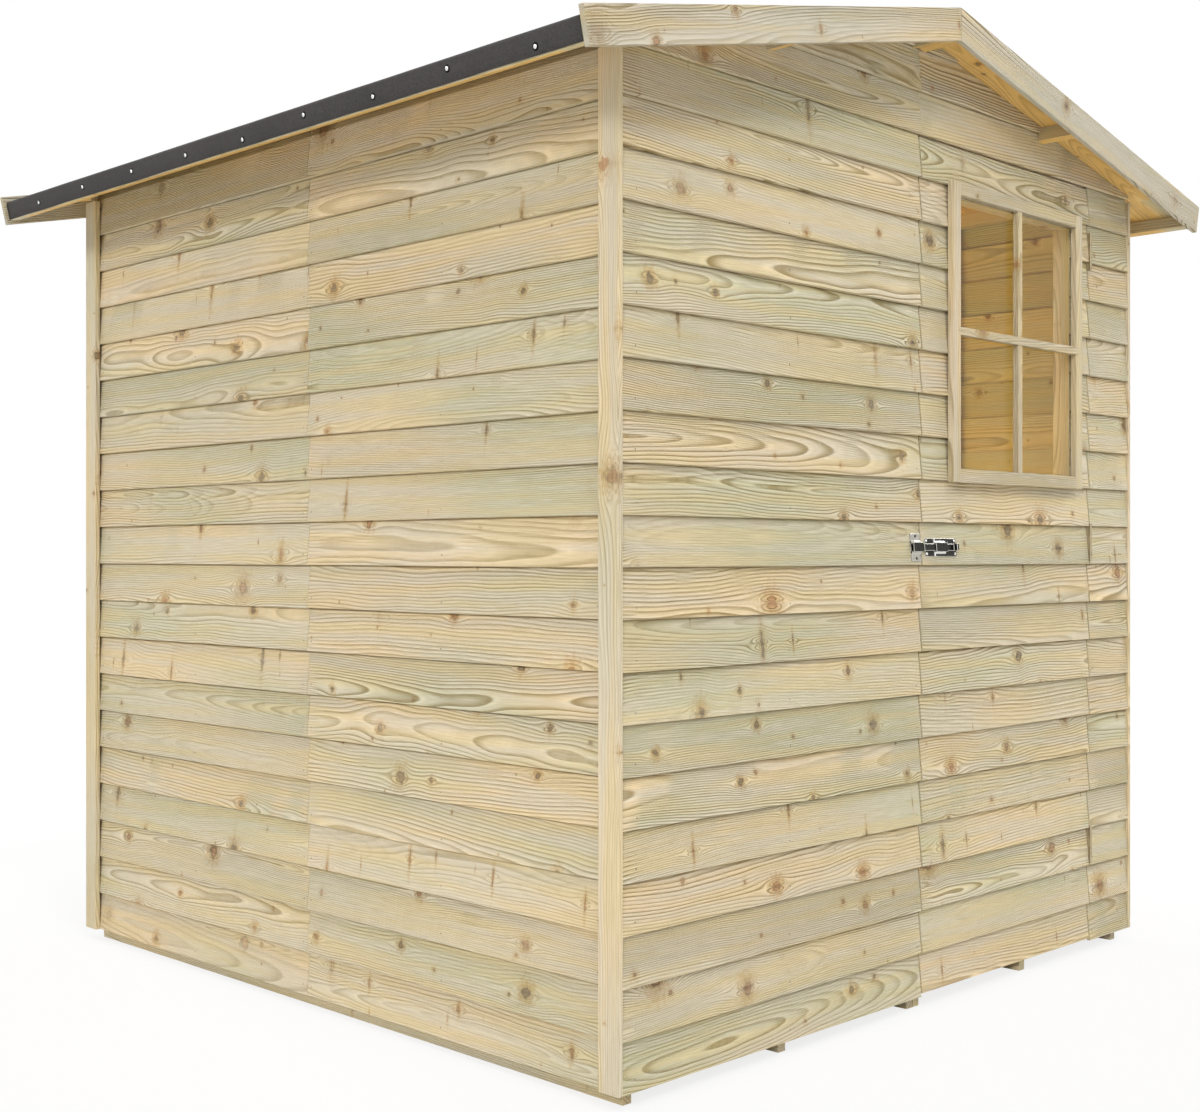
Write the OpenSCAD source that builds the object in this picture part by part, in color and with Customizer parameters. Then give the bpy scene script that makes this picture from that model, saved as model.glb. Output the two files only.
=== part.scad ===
// Small apex garden shed of overlap boards, with a part-glazed single door in the front gable.
// The origin is on the ground under the middle of the shed. The door faces -Y and the side walls face +X and -X.

/* [Walls] */
// Width between the lowest outer board edges of the two side walls
clad_w = 1815; // [1500:5:2400]
// Depth between the lowest outer board edges of the two gables
clad_d = 1859; // [1500:5:2600]
// Height of each overlap board that shows
pitch = 91; // [85:1:97]
// Number of boards from the bottom up to the eaves and the door head
rows = 20; // [18:1:21]
// Thickness of an overlap board
board_t = 9; // [7:0.5:12]
// Length of board that is hidden behind the board above
lap = 22; // [15:1:30]
// Height of the lowest board edge above the ground
clad_z = 27; // [15:1:35]
// Width of the butt joint between two wall panels
seam = 1; // [0.5:0.5:2]

/* [Framing] */
// Thickness of the framing behind the boards
frame_t = 28; // [24:1:45]
// Face width of a stud or rail
stud_w = 28; // [24:1:50]
// Face width of a corner strip
strip_w = 49; // [35:1:60]
// Thickness of a corner strip
strip_t = 12; // [8:1:18]
// Distance from the top of the side wall boards down to the top of a corner strip
strip_drop = 9; // [2:1:20]

/* [Floor] */
// Height of a floor joist
joist_h = 44; // [38:1:60]
// Width of a floor joist
joist_w = 22; // [18:1:40]
// Thickness of the floor boards
floor_t = 11; // [9:1:20]
// Distance that the floor stays inside the wall framing
floor_inset = 4; // [1:1:10]

/* [Roof] */
// Slope of the roof in degrees
roof_pitch = 12.8; // [10:0.2:16]
// Distance that the roof clears the top of the wall boards' outer edge
eaves_rise = 8; // [4:1:14]
// Overhang of the roof boards beyond the side walls
eaves_over = 175; // [120:5:220]
// Overhang of the roof beyond the gables, to the face of the bargeboards
gable_over = 96; // [60:1:140]
// Thickness of the roof boards
roof_t = 12; // [9:1:18]
// Depth of a roof rail below the roof boards
purlin_h = 32; // [28:1:40]
// Width of a roof rail
purlin_w = 22; // [18:1:30]
// Distance down the slope from the ridge to the middle roof rail
purlin_u = 505; // [350:5:650]
// Depth of a gable rafter
rafter_h = 38; // [28:1:45]
// Thickness of the roofing felt
felt_t = 2.5; // [1.5:0.5:4]
// Height of felt that is turned down over the eaves
felt_drop = 40; // [25:1:42]
// Width of the felt strip over the ridge, on each slope
cap_u = 150; // [100:5:250]

/* [Bargeboards] */
// Face width of a bargeboard
barge_w = 67.5; // [55:0.5:90]
// Thickness of a bargeboard
barge_t = 12; // [9:1:18]
// Height that a bargeboard stands above the roof boards' underside
barge_rise = 27.5; // [20:0.5:35]
// Distance that a bargeboard runs past the edge of the roof boards
barge_end = 10; // [4:1:30]

/* [Door] */
// Distance from the middle of the front to the left edge of the doorway
doorway_x = -2.5; // [-60:0.5:10]
// Width of the wall boards between the doorway and the right-hand edge of the front
jamb_w = 191; // [120:1:240]
// Gap all round the door
door_gap = 5; // [5:0.5:7]
// Distance that the door's framing stays behind the edge of its boards on the latch side
door_inset = 2; // [2:0.5:5]
// Height of the door's boards above the lowest edge of the wall boards
door_foot = 6; // [4:1:12]
// Gap under the door's framing, above the floor
sill_gap = 6; // [5:1:12]
// Face width of the door's stiles and rails
door_stile = 44; // [35:1:60]
// Number of boards below the one that carries the slide bolt
lock_row = 10; // [8:1:12]
// Height of the slide bolt's middle above the lower edge of its board
lock_up = 37; // [32:1:48]

/* [Window] */
// Distance from the door's left edge to the window frame
window_left = 94.5; // [80:0.5:130]
// Distance from the window frame to the door's right edge
window_right = 60.5; // [50:0.5:110]
// Distance from the window frame up to the door's top edge
window_drop = 79.5; // [75:0.5:110]
// Height of the window frame
window_h = 648; // [500:1:680]
// Face width of a window frame member
window_member = 29; // [22:1:35]
// Thickness of the window frame, in front of the boards
window_t = 15; // [10:1:22]
// Thickness of the glass
glass_t = 4; // [3:0.5:6]
// Distance of the glass behind the planted window frame
glass_back = 0.3; // [0.2:0.1:5]
// Running gap round the glass
glass_gap = 0.3; // [0.2:0.1:0.5]

/* [Slide bolt] */
// Length of the bolt's base plate
plate_l = 118; // [100:1:130]
// Height of the base plate
plate_h = 39; // [34:1:44]
// Thickness of the plates and straps
plate_t = 2; // [1.5:0.5:3]
// Distance from the door's edge to the base plate
plate_x = 11; // [6:1:20]
// Height of the flat bolt
bolt_h = 15; // [12:1:18]
// Thickness of the flat bolt
bolt_t = 5; // [4:0.5:7]
// Distance of the drawn bolt's tip behind the door's edge
tip_back = 1.5; // [0:0.5:4]
// Running gap round the bolt in its housing
bolt_gap = 0.3; // [0.2:0.1:0.5]
// Distance from the plate's edge to the housing over the bolt
housing_x = 32; // [26:1:36]
// Length of the housing
housing_l = 43; // [35:1:46]
// Width of a foot of the housing or of the keeper on its plate
foot_w = 3.5; // [3:0.5:5]
// Width of the band that crosses the plate at the housing's front edge
band_w = 4; // [3:0.5:6]
// Distance from the thumb tab, drawn back, to the plate's far edge
tab_back = 2; // [1:1:5]
// Width of the thumb tab
tab_w = 14; // [8:1:16]
// Reach of the thumb tab in front of the bolt
tab_reach = 9; // [5:1:14]
// Width of the keeper
keeper_w = 35; // [28:1:40]
// Height of the keeper with its ears
keeper_h = 58; // [50:1:64]
// Gap between the keeper and the doorway's edge
keeper_back = 1; // [0.5:0.5:4]

/* [Hinges] */
// Height of a hinge leaf
hinge_h = 90; // [70:1:110]
// Depth of a hinge leaf behind the boards' outer face
leaf_d = 45; // [36:1:48]
// Thickness of a hinge leaf
leaf_t = 1.6; // [1.2:0.1:2]
// Outer radius of a hinge knuckle
knuckle_r = 3.1; // [2.6:0.1:3.1]
// Distance of a hinge pin in front of the boards' outer face
hinge_out = 2; // [2:0.5:4]
// Radius of a hinge pin
pin_r = 1.4; // [1:0.1:1.6]
// Running clearance round a hinge pin
pin_gap = 0.08; // [0.05:0.01:0.1]
// Gap between knuckles
knuckle_gap = 0.4; // [0.3:0.1:0.8]
// Heights of the middles of the three hinges
hinge_z = [260, 988, 1690];

/* [Hidden] */
$fn = 48;

// Colours of the finishes
pine = [0.80, 0.74, 0.58];
peach = [0.86, 0.72, 0.52];
felt = [0.24, 0.23, 0.24];
steel = [0.72, 0.72, 0.72];
clear = [0.70, 0.80, 0.82, 0.4];

// An overlap board leans: its foot stands one board thickness in front of the board below
lean = atan(board_t / pitch);
clad_t = board_t + board_t * (pitch + lap) / pitch;
half_w = clad_w / 2;
half_d = clad_d / 2;
frame_x = half_w - clad_t;
frame_y = half_d - clad_t;
wall_z = clad_z + rows * pitch;
floor_z = joist_h + floor_t;

// The roof is set out from the point where its underside crosses the outer edge of the side walls
eaves_z = wall_z + eaves_rise;
ridge_z = eaves_z + half_w * tan(roof_pitch);
slope_l = (half_w + eaves_over) / cos(roof_pitch);
barge_y = half_d + gable_over;
roof_y = barge_y - barge_t;
gable_rows = ceil((ridge_z - clad_z) / pitch);
seat = 0.2;

// Edges of the doorway, the door and its window
door_l = doorway_x + door_gap;
doorway_r = half_w - jamb_w;
door_r = doorway_r - door_gap;
door_z = clad_z + door_foot;
door_top = wall_z - door_gap;
win_l = door_l + window_left;
win_r = door_r - window_right;
win_top = door_top - window_drop;
win_z = win_top - window_h;
light_l = win_l + window_member;
light_r = win_r - window_member;
light_z = win_z + window_member;
light_top = win_top - window_member;

// The bolt lies on the leaning face of one board of the door
lock_z = clad_z + lock_row * pitch + lock_up;
lock_y = -half_d + lock_up * board_t / pitch;
plate_l_x = door_l + plate_x;
tip_x = door_l + tip_back;
tab_x = plate_l_x + plate_l - tab_back - tab_w;
hinge_x = (door_r + doorway_r) / 2;
hinge_y = -half_d - hinge_out;

// Height of the roof's underside over a point of the width
function under(x) = eaves_z + (half_w - abs(x)) * tan(roof_pitch);

// Outline in width and height, drawn out along the depth
module along_y(y0, y1) {
    translate([0, y1, 0]) rotate([90, 0, 0]) linear_extrude(y1 - y0) children();
}

// Box from its low corner to its high corner
module block(low, high) {
    translate(low) cube(high - low);
}

// Cross-section of a wall of overlap boards: depth behind the outer edge against height, from one row up to another
module overlap_profile(first, last) {
    polygon(concat(
        [for (k = [first : last - 1]) each [[0, k * pitch], [board_t, (k + 1) * pitch]]],
        [[board_t + lap * board_t / pitch, last * pitch + lap]],
        [for (k = [last - 1 : -1 : first]) each [
            [clad_t, (k + 1) * pitch + lap],
            [board_t + lap * board_t / pitch, k * pitch + lap]
        ]],
        [[board_t, first * pitch]]
    ));
}

// Outline in depth and height, drawn out along the width
module along_x(x0, x1) {
    translate([x0, 0, 0]) rotate([90, 0, 90]) linear_extrude(x1 - x0) children();
}

// The same piece on the other side of the shed's middle plane
module on_right() {
    mirror([1, 0, 0]) children();
}

// Outline in the roof's own plane: distance down the slope from the ridge against height over its underside
module slope(side) {
    mirror([side < 0 ? 1 : 0, 0]) translate([0, ridge_z]) rotate(-roof_pitch) children();
}

// Distance down the slope at which a height over the underside meets the ridge's upright joint
function ridge_u(v) = (seam / 2 - v * sin(roof_pitch)) / cos(roof_pitch);

// Point of the slope in width and height
function slope_point(u, v) = [
    u * cos(roof_pitch) + v * sin(roof_pitch),
    ridge_z - u * sin(roof_pitch) + v * cos(roof_pitch)
];

// Cross-sections of the rails under one slope, and of the notches that let them through a gable
module rail_sections(side, clear) {
    for (u = [ridge_u(-purlin_h), purlin_u, slope_l - purlin_w])
        slope(side) translate([u - clear, -purlin_h - clear]) square([purlin_w + 2 * clear, purlin_h + clear]);
}

// Part of a gable that lies under the roof, between two distances from the middle plane and above a height
module gable_field(x0, x1, z0) {
    difference() {
        polygon([[x0, z0], [x1, z0], [x1, under(x1) - seat], [x0, under(x0) - seat]]);
        for (side = [-1, 1]) {
            rail_sections(side, seam);
            slope(side) translate([0, -purlin_h - seam]) square([purlin_w, purlin_h + seam]);
        }
    }
}

// Boards of the left side wall over a stretch of its depth
module side_boards(y0, y1) {
    along_y(y0, y1) intersection() {
        translate([-half_w, clad_z]) overlap_profile(0, rows + 1);
        translate([-half_w, clad_z]) square([clad_t, eaves_z - clad_z]);
    }
}

// Boards of the front gable, kept to an outline in width and height
module front_boards(x0, x1) {
    intersection() {
        along_x(x0, x1) translate([-half_d, clad_z]) overlap_profile(0, gable_rows);
        along_y(-half_d, -frame_y) children();
    }
}

// Upright or level bar of the front frame, between two widths and two heights
module front_bar(x0, x1, z0, z1) {
    block([x0, -frame_y, z0], [x1, -frame_y + frame_t, z1]);
}

// Bar of the left side frame, between two depths and two heights
module side_bar(y0, y1, z0, z1) {
    block([-frame_x, y0, z0], [-frame_x + frame_t, y1, z1]);
}

// Floor: two half panels, each on three joists
floor_x = frame_x - floor_inset;
floor_y = frame_y - floor_inset;

module floor_joists() {
    half = floor_x - seam / 2;
    color(pine) for (x0 = [-floor_x, seam / 2])
        for (share = [0, 0.5, 1])
            translate([x0 + share * (half - joist_w), -floor_y, 0]) cube([joist_w, 2 * floor_y, joist_h]);
}

module floor_boards() {
    color(peach) for (x0 = [-floor_x, seam / 2])
        translate([x0, -floor_y, joist_h]) cube([floor_x - seam / 2, 2 * floor_y, floor_t]);
}

// Side walls: two panels each, with three studs a panel between a bottom rail and a bevelled top rail
side_end = frame_y - frame_t;
side_top = under(frame_x) - stud_w;

module left_cladding_front() {
    color(pine) side_boards(-frame_y + seam, -seam / 2);
}

module left_cladding_rear() {
    color(pine) side_boards(seam / 2, frame_y - seam);
}

module left_studs() {
    half = side_end - seam / 2;
    color(peach) for (y0 = [-side_end, seam / 2])
        for (share = [0, 0.5, 1]) {
            y = y0 + share * (half - stud_w);
            side_bar(y, y + stud_w, floor_z + stud_w, side_top);
        }
}

module left_rails() {
    inner_x = frame_x - frame_t;
    color(peach) for (y0 = [-side_end, seam / 2]) {
        side_bar(y0, y0 + side_end - seam / 2, floor_z, floor_z + stud_w);
        along_y(y0, y0 + side_end - seam / 2) polygon([
            [-frame_x, side_top],
            [-inner_x, side_top],
            [-inner_x, under(inner_x) - seat],
            [-frame_x, under(frame_x) - seat]
        ]);
    }
}

module right_cladding_front() { on_right() left_cladding_front(); }
module right_cladding_rear() { on_right() left_cladding_rear(); }
module right_studs() { on_right() left_studs(); }
module right_rails() { on_right() left_rails(); }

// Rear gable: two panels that run up under the roof
module rear() {
    mirror([0, 1, 0]) children();
}

module rear_cladding_left() {
    color(pine) rear() front_boards(-half_w, -seam / 2) gable_field(-half_w, -seam / 2, clad_z);
}

module rear_cladding_right() {
    color(pine) rear() front_boards(seam / 2, half_w) gable_field(seam / 2, half_w, clad_z);
}

module rear_studs() {
    half = frame_x - seam / 2;
    color(peach) rear() {
        for (x0 = [-frame_x, seam / 2])
            for (share = [0, 0.5, 1]) {
                x = x0 + share * (half - stud_w);
                front_bar(x, x + stud_w, floor_z + stud_w, wall_z);
            }
        king_post();
    }
}

module rear_rails() {
    color(peach) rear() {
        front_bar(-frame_x, -seam / 2, floor_z, floor_z + stud_w);
        front_bar(seam / 2, frame_x, floor_z, floor_z + stud_w);
        head_rail();
    }
}

// Rail over the door head, cut to the roof's slope at its ends
module head_rail() {
    along_y(-frame_y, -frame_y + frame_t) polygon([
        [-frame_x, wall_z],
        [frame_x, wall_z],
        [frame_x, under(frame_x) - seat],
        [head_end, wall_z + stud_w],
        [-head_end, wall_z + stud_w],
        [-frame_x, under(frame_x) - seat]
    ]);
}
head_end = half_w - (wall_z + stud_w + seat - eaves_z) / tan(roof_pitch);

// Short post from the head rail up to the rafters
module king_post() {
    top = ridge_z - (purlin_h + rafter_h) / cos(roof_pitch) - stud_w * tan(roof_pitch) / 2;
    front_bar(-stud_w / 2, stud_w / 2, wall_z + stud_w, top - seat);
}

module gable_rafters() {
    color(peach) for (turn = [0, 1]) mirror([0, turn, 0]) along_y(-frame_y, -frame_y + frame_t)
        for (side = [-1, 1]) intersection() {
            slope(side) polygon([
                [ridge_u(-purlin_h), -purlin_h],
                [slope_l, -purlin_h],
                [slope_l, -purlin_h - rafter_h],
                [ridge_u(-purlin_h - rafter_h), -purlin_h - rafter_h]
            ]);
            translate([-frame_x, wall_z + stud_w]) square([2 * frame_x, ridge_z - wall_z]);
        }
}

// Front gable: a full panel on the left, a narrow one beside the door and a piece over both
module front_cladding_left() {
    color(pine) front_boards(-half_w, 0) {
        gable_field(-half_w, doorway_x, clad_z);
        gable_field(doorway_x, -seam / 2, wall_z);
    }
}

module front_cladding_right() {
    color(pine) front_boards(doorway_r, half_w) translate([doorway_r, clad_z])
        square([half_w - doorway_r, wall_z - clad_z]);
}

module front_cladding_gable() {
    color(pine) front_boards(seam / 2, half_w) gable_field(seam / 2, half_w, wall_z);
}

module front_studs() {
    left_end = doorway_x - stud_w;
    color(peach) {
        for (x = [-frame_x, (left_end - frame_x) / 2, left_end, doorway_r, frame_x - stud_w])
            front_bar(x, x + stud_w, floor_z + stud_w, wall_z);
        king_post();
    }
}

module front_rails() {
    color(peach) {
        front_bar(-frame_x, doorway_x, floor_z, floor_z + stud_w);
        front_bar(doorway_r, frame_x, floor_z, floor_z + stud_w);
        head_rail();
    }
}

// Cover strips on the side walls, one at each corner
module corner_strips() {
    color(peach) for (x = [-half_w - strip_t, half_w])
        for (y = [-half_d, half_d - strip_w])
            block([x, y, clad_z], [x + strip_t, y + strip_w, wall_z - strip_drop]);
}

// Door: boards on a frame, cut through for the window
module door_boards(x0, x1, z0, z1) {
    color(pine) front_boards(x0, x1) translate([x0, z0]) square([x1 - x0, z1 - z0]);
}

module door_cladding_lower() {
    door_boards(door_l, door_r, door_z, light_z);
}

module door_cladding_beside_window() {
    door_boards(door_l, light_l, light_z, light_top);
    door_boards(light_r, door_r, light_z, light_top);
}

module door_cladding_upper() {
    door_boards(door_l, door_r, light_top, door_top);
}

stile_l = door_l + door_inset;
door_frame_z = floor_z + sill_gap;

module door_stiles() {
    color(peach) {
        front_bar(stile_l, stile_l + door_stile, door_frame_z, door_top);
        front_bar(door_r - door_stile, door_r, door_frame_z, door_top);
        front_bar(light_l - stud_w, light_l, light_z, light_top);
        front_bar(light_r, light_r + stud_w, light_z, light_top);
    }
}

module door_rails() {
    lowest = [door_frame_z, lock_z - door_stile / 2, light_z - door_stile, light_top, door_top - door_stile];
    color(peach) for (z = lowest)
        front_bar(stile_l + door_stile, door_r - door_stile, z, z + door_stile);
}

// Window: a planted frame on the boards, with the glass close behind it in the cut-out
module window_stiles() {
    color(pine) for (x = [win_l, light_r])
        block([x, -half_d - window_t, win_z], [x + window_member, -half_d, win_top]);
}

module window_rails() {
    color(pine) for (z = [win_z, light_top])
        block([light_l, -half_d - window_t, z], [light_r, -half_d, z + window_member]);
}

module window_glass() {
    y = -half_d + glass_back;
    color(clear) block(
        [light_l + glass_gap, y, light_z + glass_gap],
        [light_r - glass_gap, y + glass_t, light_top - glass_gap]
    );
}

// Places a piece of the slide bolt on the leaning face of its board: depth in front of the face is -Y
module on_lock_board() {
    translate([0, lock_y, lock_z]) rotate([-lean, 0, 0]) children();
}

// Channel bent over the bolt, open at both ends, with a foot along each edge
module bolt_channel(x0, length) {
    inner_h = bolt_h + 2 * bolt_gap;
    outer_h = inner_h + 2 * plate_t;
    inner_y = plate_t + bolt_t + 2 * bolt_gap;
    difference() {
        union() {
            block([x0, -inner_y - plate_t, -outer_h / 2], [x0 + length, -plate_t, outer_h / 2]);
            block([x0, -2 * plate_t, -outer_h / 2 - foot_w], [x0 + length, -plate_t, outer_h / 2 + foot_w]);
        }
        block([x0 - seam, -inner_y, -inner_h / 2], [x0 + length + seam, -plate_t, inner_h / 2]);
    }
}

module bolt_plate() {
    band_x = plate_l_x + housing_x;
    inner_h = bolt_h + 2 * bolt_gap;
    color(steel) on_lock_board() {
        block([plate_l_x, -plate_t, -plate_h / 2], [plate_l_x + plate_l, 0, plate_h / 2]);
        bolt_channel(band_x, housing_l);
        for (side = [-1, 1]) mirror([0, 0, side < 0 ? 1 : 0])
            block([band_x, -2 * plate_t, inner_h / 2], [band_x + band_w, -plate_t, plate_h / 2]);
    }
}

module slide_bolt() {
    face_y = -plate_t - bolt_gap;
    color(steel) on_lock_board() {
        block([tip_x, face_y - bolt_t, -bolt_h / 2], [tab_x + tab_w, face_y, bolt_h / 2]);
        block([tab_x, face_y - bolt_t - tab_reach, -bolt_h / 2], [tab_x + tab_w / 2, face_y, bolt_h / 2]);
    }
}

module bolt_keeper() {
    x0 = doorway_x - keeper_back - keeper_w;
    color(steel) on_lock_board() {
        block([x0, -plate_t, -keeper_h / 2], [x0 + keeper_w, 0, keeper_h / 2]);
        bolt_channel(x0, keeper_w);
    }
}

// Hinges: a leaf on the door's edge, a leaf on the jamb and a pin in front of the boards
module on_hinges() {
    for (z = hinge_z) translate([hinge_x, hinge_y, z]) children();
}
knuckle_h = hinge_h / 3;
leaf_x = (doorway_r - door_r) / 2;
leaf_y = knuckle_r + knuckle_gap;

module hinge_leaves_door() {
    color(steel) on_hinges() difference() {
        union() {
            block([-leaf_x, leaf_y, -hinge_h / 2], [-leaf_x + leaf_t, leaf_d, hinge_h / 2]);
            block([-leaf_x, 0, -knuckle_h / 2 + knuckle_gap], [-leaf_x + leaf_t, leaf_d, knuckle_h / 2 - knuckle_gap]);
            cylinder(r = knuckle_r, h = knuckle_h - 2 * knuckle_gap, center = true);
        }
        cylinder(r = pin_r + pin_gap, h = hinge_h, center = true);
    }
}

module hinge_leaves_frame() {
    color(steel) on_hinges() {
        block([leaf_x - leaf_t, leaf_y, -hinge_h / 2], [leaf_x, leaf_d, hinge_h / 2]);
        cylinder(r = pin_r, h = hinge_h, center = true);
        for (side = [0, 1]) mirror([0, 0, side]) {
            translate([0, 0, knuckle_h / 2]) cylinder(r = knuckle_r, h = knuckle_h);
            block([leaf_x - leaf_t, 0, knuckle_h / 2], [leaf_x, leaf_d, hinge_h / 2]);
        }
    }
}

// Roof: boards on rails that run from bargeboard to bargeboard, under felt
module roof_sheet(side) {
    along_y(-roof_y, roof_y) slope(side) children();
}

module roof_boards(side) {
    color(peach) roof_sheet(side) polygon([
        [ridge_u(0), 0],
        [slope_l, 0],
        [slope_l, roof_t],
        [ridge_u(roof_t), roof_t]
    ]);
}

module roof_boards_left() { roof_boards(-1); }
module roof_boards_right() { roof_boards(1); }

module roof_rails() {
    color(peach) along_y(-roof_y, roof_y) for (side = [-1, 1]) rail_sections(side, 0);
}

module roof_felt(side) {
    top = roof_t + felt_t;
    color(felt) roof_sheet(side) polygon([
        [ridge_u(roof_t), roof_t],
        [slope_l, roof_t],
        [slope_l, roof_t - felt_drop],
        [slope_l + felt_t, roof_t - felt_drop],
        [slope_l + felt_t, top],
        [ridge_u(top), top]
    ]);
}

module roof_felt_left() { roof_felt(-1); }
module roof_felt_right() { roof_felt(1); }

module ridge_felt() {
    low = roof_t + felt_t;
    top = low + felt_t;
    edge = [slope_point(cap_u, low), slope_point(cap_u, top)];
    color(felt) along_y(-roof_y, roof_y) polygon([
        edge[0],
        edge[1],
        [0, ridge_z + top / cos(roof_pitch)],
        [-edge[1][0], edge[1][1]],
        [-edge[0][0], edge[0][1]],
        [0, ridge_z + low / cos(roof_pitch)]
    ]);
}

// Bargeboards: square-cut boards that meet in an upright joint at the ridge
module bargeboard(side) {
    low = barge_rise - barge_w;
    color(pine) along_y(-barge_y, -roof_y) slope(side) polygon([
        [ridge_u(low), low],
        [slope_l + barge_end, low],
        [slope_l + barge_end, barge_rise],
        [ridge_u(barge_rise), barge_rise]
    ]);
}

module bargeboard_front_left() { bargeboard(-1); }
module bargeboard_front_right() { bargeboard(1); }
module bargeboard_rear_left() { rear() bargeboard(-1); }
module bargeboard_rear_right() { rear() bargeboard(1); }

floor_joists();
floor_boards();
left_cladding_front();
left_cladding_rear();
left_studs();
left_rails();
right_cladding_front();
right_cladding_rear();
right_studs();
right_rails();
rear_cladding_left();
rear_cladding_right();
rear_studs();
rear_rails();
front_cladding_left();
front_cladding_right();
front_cladding_gable();
front_studs();
front_rails();
gable_rafters();
corner_strips();
door_cladding_lower();
door_cladding_beside_window();
door_cladding_upper();
door_stiles();
door_rails();
window_stiles();
window_rails();
window_glass();
bolt_plate();
slide_bolt();
bolt_keeper();
hinge_leaves_door();
hinge_leaves_frame();
roof_boards_left();
roof_boards_right();
roof_rails();
roof_felt_left();
roof_felt_right();
ridge_felt();
bargeboard_front_left();
bargeboard_front_right();
bargeboard_rear_left();
bargeboard_rear_right();
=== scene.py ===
# %% [markdown]
# # A garden shed of overlap boards
# The shed is a light frame of studs and rails with thin pine boards nailed across it, a part-glazed
# door in the front gable and a roof of boards under felt. The sizes of its pieces are fixed by the
# model that is loaded first. What this lesson adds is what the eye reads as timber: single boards
# that lean and wander, grain that runs along every piece, knots, nails, felt and plated metal.

# %% Load the frame
import math
import random
from types import SimpleNamespace

import bmesh
import bpy
from mathutils import Matrix, Vector


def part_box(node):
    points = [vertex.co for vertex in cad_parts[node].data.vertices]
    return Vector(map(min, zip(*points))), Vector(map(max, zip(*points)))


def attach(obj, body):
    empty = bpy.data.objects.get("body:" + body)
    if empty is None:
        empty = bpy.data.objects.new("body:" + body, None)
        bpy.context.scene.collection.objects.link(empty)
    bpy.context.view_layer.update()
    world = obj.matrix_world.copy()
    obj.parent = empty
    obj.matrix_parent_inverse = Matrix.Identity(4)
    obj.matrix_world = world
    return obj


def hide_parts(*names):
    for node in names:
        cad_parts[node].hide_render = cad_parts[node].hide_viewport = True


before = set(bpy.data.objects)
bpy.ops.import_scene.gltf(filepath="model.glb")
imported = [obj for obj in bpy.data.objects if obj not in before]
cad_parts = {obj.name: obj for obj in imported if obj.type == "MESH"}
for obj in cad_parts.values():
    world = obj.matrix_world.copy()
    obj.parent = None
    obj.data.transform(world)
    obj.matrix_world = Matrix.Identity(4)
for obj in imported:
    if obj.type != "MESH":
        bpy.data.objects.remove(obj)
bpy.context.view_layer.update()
scene = bpy.context.scene

# %% [markdown]
# The sizes that the boards need are read back from the frame where a node's box gives them. The
# rest are the maker's own sizes: the rows of boards are 91 mm apart, each board is 9 mm thick and
# laps 22 mm behind the one above, and the roof slopes at 12.8 degrees. Directions and frames come
# back in almost every step, so they have names of their own. A side is -1 for left and 1 for right.

# %% Sizes of the shed, in metres
PITCH = 0.091
BOARD_T = 0.009
LAP = 0.022
ROWS = 20
GABLE_ROWS = 23
ROOF_SLOPE = math.radians(12.8)
ROOF_T = 0.012
FELT_T = 0.0025
SEAM = 0.001

side_low, side_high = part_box("left_cladding_front")
half_w = -side_low.x
clad_z = side_low.z
eaves_z = side_high.z
half_d = -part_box("front_cladding_left")[0].y
wall_z = clad_z + ROWS * PITCH
ridge_z = eaves_z + half_w * math.tan(ROOF_SLOPE)
lean = math.atan(BOARD_T / PITCH)
print("walls", round(2 * half_w, 4), "x", round(2 * half_d, 4), "ridge at", round(ridge_z, 4))

# %% Directions and frames
ALONG_X = Vector((1, 0, 0))
ALONG_Y = Vector((0, 1, 0))
UP = Vector((0, 0, 1))
QUARTER_TURN = math.radians(90)
HALF_TURN = math.radians(180)


def span(node, axis):
    """A node's low and high place along one axis."""
    low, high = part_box(node)
    return low[axis], high[axis]


def down_slope(side):
    return Vector((side * math.cos(ROOF_SLOPE), 0, -math.sin(ROOF_SLOPE)))


def off_slope(side):
    return Vector((side * math.sin(ROOF_SLOPE), 0, math.cos(ROOF_SLOPE)))


def slope_point(side, u, v):
    """A point of the roof from its distance down the slope and its height over the underside."""
    return UP * ridge_z + down_slope(side) * u + off_slope(side) * v


def facing(corner, turn):
    """The frame of a panel: along its boards, into the wall and up, turned about the upright."""
    return Matrix.Translation(corner) @ Matrix.Rotation(turn, 4, "Z")


def frame_of(corner, along, depth):
    """A frame at a corner, from two of its directions."""
    turned = Matrix((along, depth, along.cross(depth))).transposed().to_4x4()
    return Matrix.Translation(corner) @ turned


# %% [markdown]
# ## Light and camera
# A plain pale floor and even light from every side show the colours about as they are written. The
# camera stands where the photograph was taken from, level with the door's latch.

# %% Camera
CAMERA_AT = (-2.951, -2.903, 0.959)
CAMERA_YAW = math.radians(-45.2)
IMAGE_WIDTH = 1200
FOCAL_PIXELS = 1653.5
SENSOR = 36.0
HORIZON_OFF_MIDDLE = -1.5

lens = bpy.data.cameras.new("camera")
lens.sensor_width = SENSOR
lens.lens = FOCAL_PIXELS / IMAGE_WIDTH * SENSOR
lens.shift_y = HORIZON_OFF_MIDDLE / IMAGE_WIDTH
camera = bpy.data.objects.new("camera", lens)
camera.location = CAMERA_AT
camera.rotation_euler = (QUARTER_TURN, 0, CAMERA_YAW)
scene.collection.objects.link(camera)
scene.camera = camera
scene.view_settings.view_transform = "Standard"
print("lens", round(lens.lens, 2), "mm")


# %% [markdown]
# Shader maths reads best as sums. This class wraps one socket of a material or a geometry tree:
# arithmetic on it adds Math nodes, and its node method adds any other node, with the values or links
# of its inputs, the output that is wanted, and its settings by name.

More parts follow.
